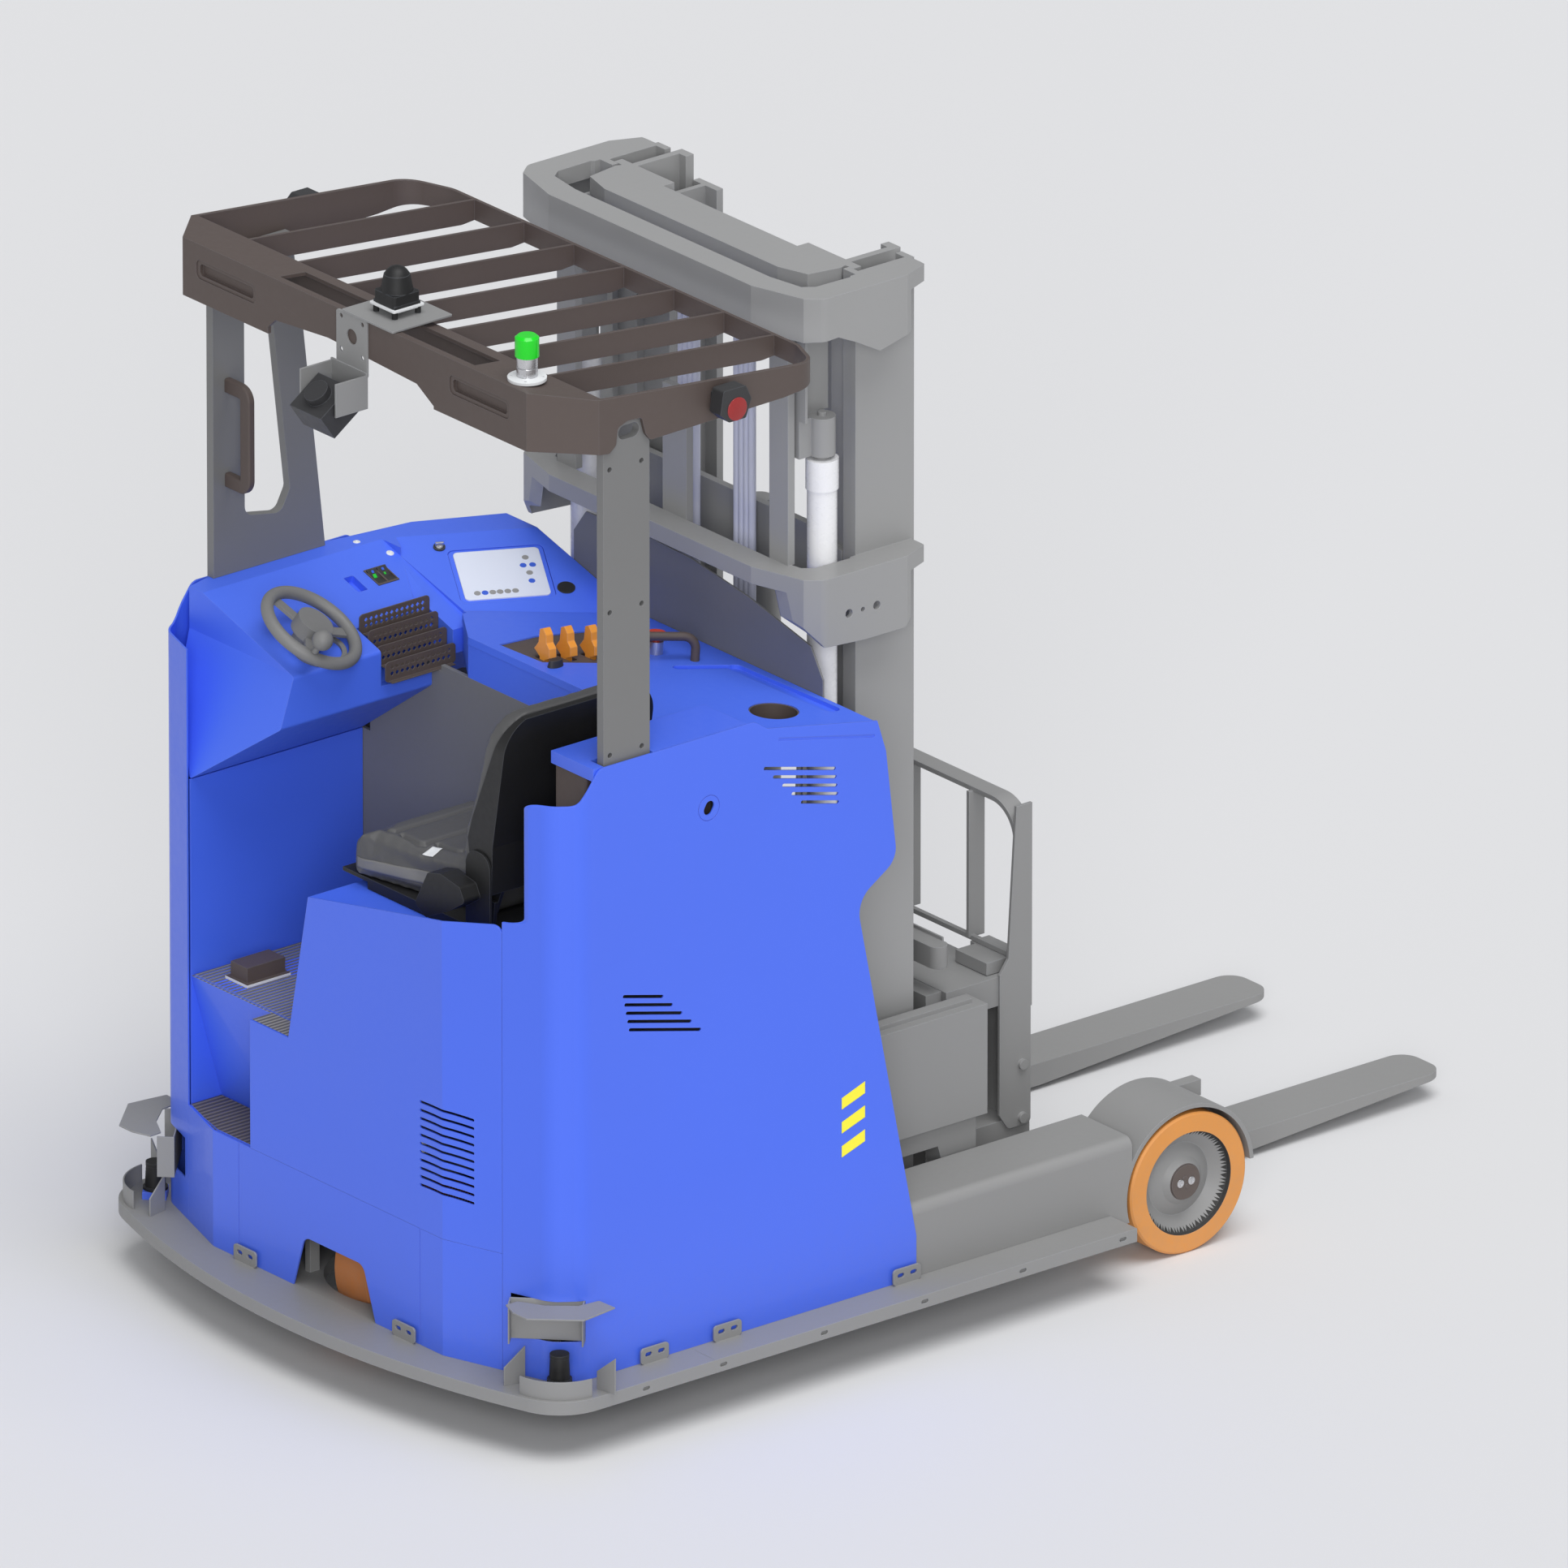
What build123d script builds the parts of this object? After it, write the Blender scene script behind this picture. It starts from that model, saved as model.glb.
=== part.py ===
from build123d import *
from math import cos, radians, sin, tan
import os

os.makedirs("parts", exist_ok=True)

# Autonomous reach truck, in millimetres.
# X points towards the forks, Y to the left of the truck, Z up from the floor.
# The seat faces +Y, so the driver sits across the direction of travel.

# Driving dimensions: running gear
ring_half_width = 719.0
ring_front = 236.0
ring_bottom = 103.0
ring_top = 131.0
ring_arc_radius = 2025.0
ring_arc_center = 676.0
ring_corner_radius = 115.0
leg_outer = 635.0
leg_inner = 477.0
leg_top = 283.0
leg_rear = -744.0
leg_end = 292.0
leg_edge_radius = 21.0
leg_wall = 14.0
channel_bottom = 152.0
channel_top = 254.0
channel_depth = 92.0
channel_front = 262.0
axle_x = 437.0
load_wheel_radius = 148.0
load_wheel_width = 100.0
fender_radius = 167.0
fender_wall = 9.0
fender_inner = 464.0
fender_front_z = 160.0
axle_radius = 22.0
running_gap = 0.3

# Driving dimensions: cab
cab_rear = -1236.0
cab_bend_y = 362.0
cab_corner_x = -1144.0
corner_bend_x, corner_bend_y = -1157.0, 600.0
side_bend_x = -1103.0
corner_bend_radius = 60.0
cab_half_width = 639.3
cab_front = -262.0
panel_wall = 4.0
seam_y = 495.0
shelf_x, shelf_z = -1172.5, 1080.0
skirt_top = 378.0
bulkhead_x = -747.0
bulkhead_wall = 9.0
bulkhead_top = 1278.0
rack_front_y, rack_front_z = 268.0, 1265.0
floor_top = 651.0
step_top = 377.0
step_side_y = 243.0
step_depth_x = -1107.0
floor_edge_x = -1182.0
mat_height = 4.0
platform_top = 970.0
platform_edge_y = 58.0
top_level = 1415.0
console_front = -362.0
console_front_z = 1337.0
console_rear_z = 1364.0
dash_top = 1420.0
dash_outer_y = 606.0
dash_rim_y = 552.0
dash_front_y = 277.0
dash_front_z = 1330.0

# Driving dimensions: overhead guard
guard_rear = -1162.0
guard_front = -478.0
guard_half_width = 638.0
guard_rear_z = 2198.0
guard_front_z = 2131.0
guard_bottom = 2076.0
guard_wall = 8.0
slat_pitch = 156.0
slat_height = 48.0
post_wall = 20.0
post_y = 609.5

# Driving dimensions: mast
mast_top = 2172.0
head_height = 36.0
upright_rear = -222.0
upright_front = -74.0
upright_outer = 399.0
mast_bottom = 160.0
cylinder_x = -283.0
cylinder_y = 370.0
cylinder_radius = 30.0
rod_radius = 17.0
cross_top = 1579.0
roller_radius = 50.0
roller_z = 203.5
roller_front_x = -250.0
roller_rear_x = -560.0

# Driving dimensions: fork carriage
load_face = 277.0
carriage_half_width = 340.0
fork_tip = 1349.0
fork_top = 58.0
fork_width = 127.0
fork_y = 269.5
fork_thickness = 48.0


def keep(part, label):
    """Labels a finished piece and writes it."""
    part.label = label
    export_step(part, f"parts/{label}.step")


def cab_plan(front, inset=0.0):
    """Plan outline of the cab from its rear to a given front, drawn in by an inset."""
    with BuildSketch() as plan:
        with BuildLine():
            Polyline(
                (front + inset, -cab_half_width),
                (side_bend_x, -cab_half_width),
                (corner_bend_x, -corner_bend_y),
                (cab_rear, -cab_bend_y),
                (cab_rear, cab_bend_y),
                (corner_bend_x, corner_bend_y),
                (side_bend_x, cab_half_width),
                (front + inset, cab_half_width),
                close=True,
            )
        make_face()
        fillet(plan.vertices().filter_by_position(Axis.X, corner_bend_x, side_bend_x), corner_bend_radius)
        if inset:
            offset(amount=-inset)
    return plan.sketch


def cab_wall(front):
    """Plan of the sheet wall round the cab, open towards the front."""
    with BuildSketch() as wall:
        add(cab_plan(front))
        add(cab_plan(front, panel_wall), mode=Mode.SUBTRACT)
    return wall.sketch


# Base frame: the bottom plate inside the ring, with wells for the drive wheel and the castor
drive_x, drive_y = -1008.0, 0.0
drive_wheel_radius = 171.5
drive_wheel_width = 115.0
castor_x, castor_y = -944.0, -490.0
castor_wheel_radius = 75.0
drive_well_radius = 186.0
castor_well_radius = 118.0
plate_gap = 0.3
battery_rear, battery_front = -734.0, -405.0
battery_half_width = 600.0
battery_rail_y = 300.0
battery_bottom, battery_top = 296.0, 1078.0
reach_cylinder_z = 215.0
reach_tube_radius = 32.0
reach_rod_radius = 18.0
reach_tube_front = -130.0
reach_tube_rear = -724.0

with BuildPart() as base_frame:
    with BuildSketch(Plane.XY.offset(ring_bottom)):
        add(cab_plan(leg_rear - plate_gap, panel_wall + 0.5))
        with Locations((drive_x, drive_y)):
            Circle(drive_well_radius, mode=Mode.SUBTRACT)
        with Locations((castor_x, castor_y)):
            Circle(castor_well_radius, mode=Mode.SUBTRACT)
    extrude(amount=ring_top - ring_bottom)
    with BuildSketch(Plane.XY.offset(ring_bottom)):
        with Locations(((leg_rear - 10 + battery_front) / 2, 0)):
            Rectangle(battery_front - leg_rear + 10, 2 * (leg_inner - plate_gap))
    extrude(amount=ring_top - ring_bottom)
    # Tube of the reach cylinder, with its clevis on the plate
    with BuildSketch(Plane.YZ.offset(reach_tube_rear)):
        with Locations((0, reach_cylinder_z)):
            Circle(reach_tube_radius)
    extrude(amount=reach_tube_front - reach_tube_rear)
    with BuildSketch(Plane.YZ.offset(reach_tube_front)):
        with Locations((0, reach_cylinder_z)):
            Circle(reach_rod_radius + 0.08)
    extrude(amount=reach_tube_rear + 20 - reach_tube_front, mode=Mode.SUBTRACT)
    for clamp_x in (reach_tube_rear + 40, battery_front - 40):
        with Locations((clamp_x, 0, (ring_top + reach_cylinder_z - reach_tube_radius) / 2 + 5)):
            Box(40, 50, reach_cylinder_z - reach_tube_radius - ring_top + 10)
    # Two rails on the plate that the battery stands on
    with Locations(((battery_rear + battery_front) / 2, 0, (ring_top + battery_bottom) / 2)):
        with GridLocations(1, 2 * battery_rail_y, 1, 2):
            Box(battery_front - battery_rear - 20, 40, battery_bottom - ring_top)
    # Steering bridge over the drive wheel, which carries the turntable
    with Locations((drive_x, drive_y, 404)):
        Box(330, 300, 16)
        Cylinder(92, 16, mode=Mode.SUBTRACT)
    with Locations((drive_x, drive_y, (ring_top + 396) / 2)):
        with GridLocations(306, 284, 2, 2):
            Box(24, 16, 396 - ring_top)
    # Castor bridge
    with Locations((castor_x, castor_y, 232)):
        Box(120, 260, 12)
        Cylinder(12.08, 12, mode=Mode.SUBTRACT)
    with Locations((castor_x, castor_y, (ring_top + 226) / 2)):
        with GridLocations(1, 252, 1, 2):
            Box(100, 8, 226 - ring_top)
keep(base_frame.part, "base_frame")

# Slotted tabs that stand round the base, as fixing points
tab_length, tab_height, tab_thickness = 70.0, 34.0, 4.0
tab_slot = (17.0, 9.0)
tab_setback = 6.0
rear_tab_y = 250.0
ring_joint_x = -836.0


def slotted_tab(spot, outward):
    """Upright plate with two slots; spot is the middle of its foot, outward the way it faces."""
    with BuildPart() as tab:
        with BuildSketch(Plane(origin=spot, x_dir=(-outward[1], outward[0], 0), z_dir=(*outward, 0))):
            with Locations((0, tab_height / 2)):
                Rectangle(tab_length, tab_height)
            fillet(vertices().group_by(Axis.Z)[-1], 8)
            with Locations((0, tab_height * 0.58)):
                with GridLocations(tab_length * 0.46, 1, 2, 1):
                    SlotOverall(*tab_slot, mode=Mode.SUBTRACT)
        extrude(amount=tab_thickness)
    return tab.part


# Bumper ring round the truck, with its long rear arc
ring_slot = (9.0, 4.0)
with BuildPart() as bumper_ring:
    with BuildSketch(Plane.XY.offset(ring_bottom)) as ring_plan:
        with Locations((ring_front, 0)):
            Rectangle(
                ring_front - ring_arc_center + ring_arc_radius,
                2 * ring_half_width,
                align=(Align.MAX, Align.CENTER),
            )
        with Locations((ring_arc_center, 0)):
            Circle(ring_arc_radius, mode=Mode.INTERSECT)
        fillet(vertices().group_by(Axis.X)[0], ring_corner_radius)
        with Locations((ring_front, 0)):
            Rectangle(
                ring_front - leg_rear,
                2 * (leg_outer + plate_gap),
                align=(Align.MAX, Align.CENTER),
                mode=Mode.SUBTRACT,
            )
        add(cab_plan(leg_rear, panel_wall), mode=Mode.SUBTRACT)
    extrude(amount=ring_top - ring_bottom)
    for side in (-1, 1):
        with BuildSketch(Plane.XZ.offset(-side * ring_half_width)):
            with Locations(*[(x, (ring_top + ring_bottom) / 2) for x in (-1010, -815, -560, -305, -55, 200)]):
                SlotOverall(ring_slot[0] * 2, ring_slot[1] * 2)
        extrude(amount=side * 6, mode=Mode.SUBTRACT)
        for tab_x in (-932, -748, -293):
            add(slotted_tab((tab_x, side * (cab_half_width + tab_setback), ring_top), (0, side)))
        add(slotted_tab((cab_rear - tab_setback, side * rear_tab_y, ring_top), (-1, 0)))
    # Joint between the rear and the side pieces of the ring
    for side in (-1, 1):
        with Locations((ring_joint_x, side * ring_half_width, ring_top)):
            Box(2, 2 * (ring_half_width - cab_half_width) - 8, 1.2, mode=Mode.SUBTRACT)
keep(bumper_ring.part, "bumper_ring")


def support_leg(side):
    """One leg: a channel open to the inside, the wheel fender and the axle. side is -1 right, 1 left."""
    outer_y = side * leg_outer
    inner_y = side * leg_inner
    with BuildPart() as leg:
        with BuildSketch(Plane.YZ.offset(leg_rear)) as section:
            with BuildLine():
                Polyline(
                    (inner_y, ring_bottom),
                    (outer_y, ring_bottom),
                    (outer_y, leg_top),
                    (inner_y, leg_top),
                    close=True,
                )
            make_face()
            fillet(vertices().group_by(Axis.Y)[-1].sort_by(Axis.X)[0 if side < 0 else -1], leg_edge_radius)
        extrude(amount=leg_end - leg_rear)
        with BuildSketch(Plane.YZ.offset(leg_rear)):
            with Locations((inner_y + side * channel_depth / 2, (channel_bottom + channel_top) / 2)):
                Rectangle(channel_depth, channel_top - channel_bottom)
        extrude(amount=channel_front - leg_rear, mode=Mode.SUBTRACT)
        # Fender drum round the wheel, closed on its inner side
        drum = Plane(origin=(axle_x, side * fender_inner, load_wheel_radius), z_dir=(0, side, 0))
        with BuildSketch(drum):
            Circle(fender_radius)
        extrude(amount=leg_outer - fender_inner)
        with BuildSketch(drum.offset(fender_wall)):
            Circle(fender_radius - fender_wall)
        extrude(amount=leg_outer, mode=Mode.SUBTRACT)
        # The drum is open below, higher at the front than behind
        for reach, level in ((fender_radius + 2, fender_front_z), (-fender_radius - 2, ring_bottom)):
            with Locations((axle_x + reach / 2, side * leg_outer, level / 2 - fender_radius / 2)):
                Box(abs(reach), 400, level + fender_radius, mode=Mode.SUBTRACT)
        # Web below the axle on the inner side, then the axle itself
        with BuildSketch(drum):
            with Locations((0, 0)):
                Circle(48)
        extrude(amount=fender_wall + 12)
        with BuildSketch(drum):
            Circle(axle_radius)
        extrude(amount=leg_outer - fender_inner - 34)
        # Small sensor block on the inner side of the fender
        with Locations((axle_x + 118, side * (fender_inner + 14), load_wheel_radius + 122)):
            Box(62, 28, 34)
    return leg


for side_name, side in (("right", -1), ("left", 1)):
    leg_part = support_leg(side)
    keep(leg_part.part, f"{side_name}_leg")

    wheel_face = Plane(origin=(axle_x, side * leg_outer, load_wheel_radius), z_dir=(0, side, 0))
    tyre_inner_radius = 119.0
    with BuildPart() as load_wheel:
        with BuildSketch(wheel_face):
            Circle(load_wheel_radius)
            Circle(tyre_inner_radius, mode=Mode.SUBTRACT)
        extrude(amount=-load_wheel_width)
        chamfer(edges().filter_by(lambda edge: edge.length > 900), 4)
    with BuildPart() as load_rim:
        # Dished rim, turned about the axle
        with BuildSketch(Plane.YZ):
            with BuildLine():
                Polyline(
                    (0, tyre_inner_radius),
                    (0, tyre_inner_radius - 11),
                    (-10, tyre_inner_radius - 13),
                    (-34, 76),
                    (-22, 50),
                    (-12, 38),
                    (-12, axle_radius + 14),
                    (-30, axle_radius + 14),
                    (-30, axle_radius + 0.08),
                    (-load_wheel_width + 4, axle_radius + 0.08),
                    (-load_wheel_width + 4, 60),
                    (-60, 80),
                    (-load_wheel_width + 4, tyre_inner_radius - 10),
                    (-load_wheel_width, tyre_inner_radius),
                    close=True,
                )
            make_face()
        revolve(axis=Axis.Y)
        with BuildSketch(Plane(origin=(0, -29.5, 0), z_dir=(0, 1, 0))):
            Circle(axle_radius + 14)
        extrude(amount=21)
        with BuildSketch(Plane(origin=(0, -8.5, 0), z_dir=(0, 1, 0))):
            with Locations((-9, 3), (9, -3)):
                Circle(5)
        extrude(amount=1.5)
    turned = load_rim.part if side > 0 else load_rim.part.mirror(Plane.XZ)
    with BuildPart() as whole_wheel:
        add(load_wheel.part)
        add(Pos(axle_x, side * leg_outer, load_wheel_radius) * turned)
    keep(whole_wheel.part, f"{side_name}_load_wheel")

# Drive unit: motor on its turntable, with the gearbox arm that carries the wheel
drive_axle_z = drive_wheel_radius
with BuildPart() as drive_unit:
    with Locations((drive_x, drive_y, 404)):
        Cylinder(91, 34)
    with Locations((drive_x, drive_y, 421)):
        Cylinder(120, 14, align=(Align.CENTER, Align.CENTER, Align.MIN))
        Cylinder(88, 190, align=(Align.CENTER, Align.CENTER, Align.MIN))
    with Locations((drive_x, drive_y + 84, 240)):
        Box(96, 34, 300)
    with Locations((drive_x, drive_y + 40, 371)):
        Box(110, 100, 34)
    with BuildSketch(Plane(origin=(drive_x, drive_y + 101, drive_axle_z), z_dir=(0, -1, 0))):
        Circle(62)
    extrude(amount=34)
    with BuildSketch(Plane(origin=(drive_x, drive_y + 70, drive_axle_z), z_dir=(0, -1, 0))):
        Circle(30)
    extrude(amount=70 + drive_wheel_width / 2)
keep(drive_unit.part, "drive_unit")

with BuildPart() as drive_wheel:
    with BuildSketch(Plane(origin=(drive_x, drive_y + drive_wheel_width / 2, drive_axle_z), z_dir=(0, -1, 0))):
        Circle(drive_wheel_radius)
        Circle(30.08, mode=Mode.SUBTRACT)
    extrude(amount=drive_wheel_width)
    chamfer(edges().filter_by(lambda edge: edge.length > 1000), 9)
    with BuildSketch(Plane(origin=(drive_x, drive_y - drive_wheel_width / 2, drive_axle_z), z_dir=(0, -1, 0))):
        Circle(112)
        Circle(50, mode=Mode.SUBTRACT)
    extrude(amount=-18, mode=Mode.SUBTRACT)
keep(drive_wheel.part, "drive_wheel")

# Castor at the right rear corner
castor_trail = 42.0
castor_wheel_width = 50.0
with BuildPart() as castor_fork:
    with Locations((castor_x, castor_y, 232)):
        Cylinder(12, 12.8)
    with Locations((castor_x, castor_y, 238.3)):
        Cylinder(22, 8, align=(Align.CENTER, Align.CENTER, Align.MIN))
    with Locations((castor_x, castor_y, 225.7)):
        Cylinder(46, 14, align=(Align.CENTER, Align.CENTER, Align.MAX))
    with Locations((castor_x - castor_trail / 2, castor_y, 205)):
        Box(96 + castor_trail, 2 * castor_wheel_width - 26, 14)
    for arm in (-1, 1):
        with BuildSketch(Plane.XZ.offset(-castor_y - arm * 31)):
            with BuildLine():
                Polyline(
                    (castor_x - castor_trail - 22, castor_wheel_radius - 10),
                    (castor_x - castor_trail + 22, castor_wheel_radius - 10),
                    (castor_x + 26, 200),
                    (castor_x - castor_trail - 40, 200),
                    close=True,
                )
            make_face()
            fillet(vertices().group_by(Axis.Y)[0], 14)
        extrude(amount=3, both=True)
    with BuildSketch(Plane.XZ.offset(-castor_y)):
        with Locations((castor_x - castor_trail, castor_wheel_radius)):
            Circle(8)
    extrude(amount=36, both=True)
keep(castor_fork.part, "castor_fork")

with BuildPart() as castor_wheel:
    with BuildSketch(Plane.XZ.offset(-castor_y)):
        with Locations((castor_x - castor_trail, castor_wheel_radius)):
            Circle(castor_wheel_radius)
            Circle(8.06, mode=Mode.SUBTRACT)
    extrude(amount=castor_wheel_width / 2, both=True)
    fillet(edges().filter_by(lambda edge: edge.length > 400), 8)
keep(castor_wheel.part, "castor_wheel")


def side_profile():
    """Side view of a cab side panel, in X and Z."""
    with BuildSketch() as profile:
        with BuildLine():
            Polyline(
                (cab_rear - 10, ring_top),
                (cab_rear - 10, 1346),
                (-1112, 1346),
                (-1062, top_level),
                (-672, top_level),
                (-640, 1393),
                (console_front, 1339),
                (-340, 1270),
                (-312, 1035),
                (-414, 969),
                (cab_front, 221),
                (cab_front, ring_top),
                close=True,
            )
        make_face()
        fillet(profile.vertices().filter_by_position(Axis.X, -1115, -1060), 26)
        fillet(profile.vertices().filter_by_position(Axis.X, -675, -638), 20)
        fillet(profile.vertices().filter_by_position(Axis.X, -415, -410), 60)
        fillet(profile.vertices().filter_by_position(Axis.X, -313, -311), 48)
    return profile.sketch


window_bottom, window_top = 214.0, 300.0


def corner_plane(side, height):
    """Plane at a rear corner of the cab, X along the corner face and Y pointing out of it."""
    return Plane(
        origin=(cab_corner_x, side * (cab_half_width - 62), height),
        x_dir=(0.7, side * 0.714, 0),
        z_dir=(0, 0, 1),
    )


vent_slope = 14.2


def vent_slots(first, step_x, step_z, grow, length):
    """Five sloping slots below each other, as a sketch in X and Z."""
    with BuildSketch() as vents:
        for row in range(5):
            start = first[0] + step_x * row
            level = first[1] + step_z * row
            run = length + grow * row
            with Locations((start + run / 2, level - run / 2 * tan(radians(vent_slope)))):
                SlotOverall(run / cos(radians(vent_slope)), 7, rotation=-vent_slope)
    return vents.sketch


with BuildPart() as right_side_panel:
    with BuildSketch(Plane.XY.offset(ring_top)):
        add(cab_wall(cab_front))
        with Locations((0, -seam_y)):
            Rectangle(4000, 2000, align=(Align.CENTER, Align.MIN), mode=Mode.SUBTRACT)
    extrude(amount=top_level - ring_top)
    with BuildSketch(Plane.XZ):
        add(side_profile())
        with Locations((shelf_x, shelf_z)):
            Rectangle(200, 600, align=(Align.MAX, Align.MIN), mode=Mode.SUBTRACT)
        fillet(vertices().filter_by_position(Axis.X, shelf_x - 1, shelf_x + 1), 18)
    extrude(amount=cab_half_width + 1, mode=Mode.INTERSECT)
    with BuildSketch(corner_plane(-1, window_bottom)):
        Rectangle(150, 300)
    extrude(amount=window_top - window_bottom, mode=Mode.SUBTRACT)
    with BuildSketch(Plane.XZ.offset(cab_half_width - 20)):
        add(vent_slots((-649, 1311), 23.5, -23.7, -21.5, 182))
        add(vent_slots((-1004, 920), 3.75, -18.5, 20, 102))
        with Locations((-787, 1263)):
            SlotOverall(30, 22, rotation=60)
    extrude(amount=40, mode=Mode.SUBTRACT)
    with BuildSketch(Plane.XZ.offset(cab_half_width)):
        with Locations((-490, 1336)):
            SlotOverall(250, 6, rotation=-12.6)
        with Locations((-787, 1263)):
            Circle(27)
            Circle(25.5, mode=Mode.SUBTRACT)
    extrude(amount=-1.5, mode=Mode.SUBTRACT)
keep(right_side_panel.part, "right_side_panel")

# Left side: outer skin like the right one, and the inner wall of the entry
inner_wall_top = 1068.0
with BuildPart() as left_side_casing:
    with BuildSketch(Plane.XY.offset(ring_top)):
        add(cab_wall(cab_front))
        with Locations((0, seam_y)):
            Rectangle(4000, 2000, align=(Align.CENTER, Align.MAX), mode=Mode.SUBTRACT)
    extrude(amount=top_level - ring_top)
    with BuildSketch(Plane.XZ):
        add(side_profile())
    extrude(amount=-cab_half_width - 1, mode=Mode.INTERSECT)
    with BuildSketch(corner_plane(1, window_bottom)):
        Rectangle(150, 300)
    extrude(amount=window_top - window_bottom, mode=Mode.SUBTRACT)
    with BuildSketch(Plane.XY.offset(ring_top)):
        with Locations((bulkhead_x - 1, seam_y)):
            Rectangle(bulkhead_x - floor_edge_x, panel_wall, align=(Align.MAX, Align.MIN))
    extrude(amount=inner_wall_top - ring_top)
keep(left_side_casing.part, "left_side_casing")

# Lower rear skirt with the wheel arch
arch = ((110, ring_top - 5), (73, 243), (-112, 243), (-152, ring_top - 5))
with BuildPart() as rear_skirt:
    with BuildSketch(Plane.XY.offset(ring_top)):
        add(cab_wall(cab_front))
        Rectangle(4000, 2 * seam_y - 2, mode=Mode.INTERSECT)
        with Locations((0, 0)):
            Rectangle(1400, 2000, align=(Align.CENTER, Align.CENTER), mode=Mode.SUBTRACT)
    extrude(amount=skirt_top - ring_top)
    with BuildSketch(Plane.YZ.offset(cab_rear - 1)):
        with BuildLine():
            Polyline(*arch, close=True)
        make_face()
        fillet(vertices().group_by(Axis.Y)[-1], 24)
    extrude(amount=120, mode=Mode.SUBTRACT)
    with BuildSketch(Plane.YZ.offset(cab_rear)):
        with Locations((280, 260), (-291, 260)):
            Rectangle(2, 300)
    extrude(amount=1.5, mode=Mode.SUBTRACT)
keep(rear_skirt.part, "rear_skirt")

# Rear cover with its curved louvres
louvre_count, louvre_top, louvre_pitch = 11, 650.0, 17.6
with BuildPart() as rear_cover:
    with BuildSketch(Plane.XY.offset(skirt_top + 0.5)):
        add(cab_wall(cab_front))
        Rectangle(4000, 2 * seam_y - 2, mode=Mode.INTERSECT)
        with Locations((0, 0)):
            Rectangle(1400, 2000, mode=Mode.SUBTRACT)
    extrude(amount=900)
    with BuildSketch(Plane.YZ.offset(cab_rear - 1)):
        with BuildLine():
            Polyline(
                (step_side_y, skirt_top),
                (step_side_y, floor_top),
                (122, floor_top),
                (platform_edge_y, platform_top),
                (-348, 1049),
                (-seam_y, shelf_z - 6),
                (-seam_y, skirt_top),
                close=True,
            )
        make_face()
        fillet(vertices().sort_by(Axis.Y)[-1], 20)
    extrude(amount=120, mode=Mode.INTERSECT)
    with BuildSketch() as louvres:
        for row in range(louvre_count):
            level = louvre_top - louvre_pitch * row
            SlotArc(ThreePointArc((-430, level - 4), (-362, level), (-294, level - 2)), 6)
    with BuildSketch(Plane.YZ.offset(cab_rear - 1)):
        add(louvres.sketch)
    extrude(amount=120, mode=Mode.SUBTRACT)
keep(rear_cover.part, "rear_cover")

# Floor with the entry step, and the ribbed mats on both
sheet = 4.0
with BuildPart() as cab_floor:
    with BuildSketch(Plane.XZ.offset(-seam_y + plate_gap)):
        with BuildLine():
            Polyline(
                (cab_rear + panel_wall + 1, step_top),
                (step_depth_x, step_top),
                (floor_edge_x, floor_top),
                (bulkhead_x - 1, floor_top),
                (bulkhead_x - 1, floor_top - sheet),
                (floor_edge_x + sheet, floor_top - sheet),
                (step_depth_x + 1.3 * sheet, step_top - sheet),
                (cab_rear + panel_wall + 1, step_top - sheet),
                close=True,
            )
        make_face()
    extrude(amount=seam_y - plate_gap - step_side_y)
    with BuildSketch(Plane.XY.offset(floor_top)):
        with Locations((bulkhead_x - 1, step_side_y)):
            Rectangle(
                bulkhead_x - cab_rear - panel_wall - 2,
                step_side_y - platform_edge_y - plate_gap,
                align=(Align.MAX, Align.MAX),
            )
    extrude(amount=-sheet)
    with BuildSketch(Plane.XZ.offset(-step_side_y)):
        with BuildLine():
            Polyline(
                (cab_rear + panel_wall + 1, skirt_top - 6),
                (step_depth_x + sheet, skirt_top - 6),
                (floor_edge_x + sheet, floor_top - sheet),
                (cab_rear + panel_wall + 1, floor_top - sheet),
                close=True,
            )
        make_face()
    extrude(amount=sheet)
    with BuildSketch(Plane.XY.offset(floor_top)):
        with Locations(((bulkhead_x + floor_edge_x) / 2, (seam_y + platform_edge_y) / 2)):
            Rectangle(bulkhead_x - floor_edge_x - 8, seam_y - platform_edge_y - 8)
    extrude(amount=mat_height - 1.2)
    with BuildSketch(Plane.XY.offset(floor_top + mat_height - 1.2)):
        with Locations(((bulkhead_x + floor_edge_x) / 2, (seam_y + platform_edge_y) / 2)):
            with GridLocations(1, 12, 1, 35):
                Rectangle(bulkhead_x - floor_edge_x - 12, 6)
    extrude(amount=1.2)
    with BuildSketch(Plane.XY.offset(step_top)):
        with BuildLine():
            Polyline(
                (cab_rear + 6, step_side_y + 4),
                (cab_rear + 6, cab_bend_y - 8),
                (-1194, seam_y - 6),
                (step_depth_x - 6, seam_y - 6),
                (step_depth_x - 6, step_side_y + 4),
                close=True,
            )
        make_face()
    extrude(amount=mat_height)
    with BuildSketch(Plane.XY.offset(step_top - 20)):
        add(cab_plan(bulkhead_x - plate_gap, panel_wall + 0.3))
    extrude(amount=400, mode=Mode.INTERSECT)

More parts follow.
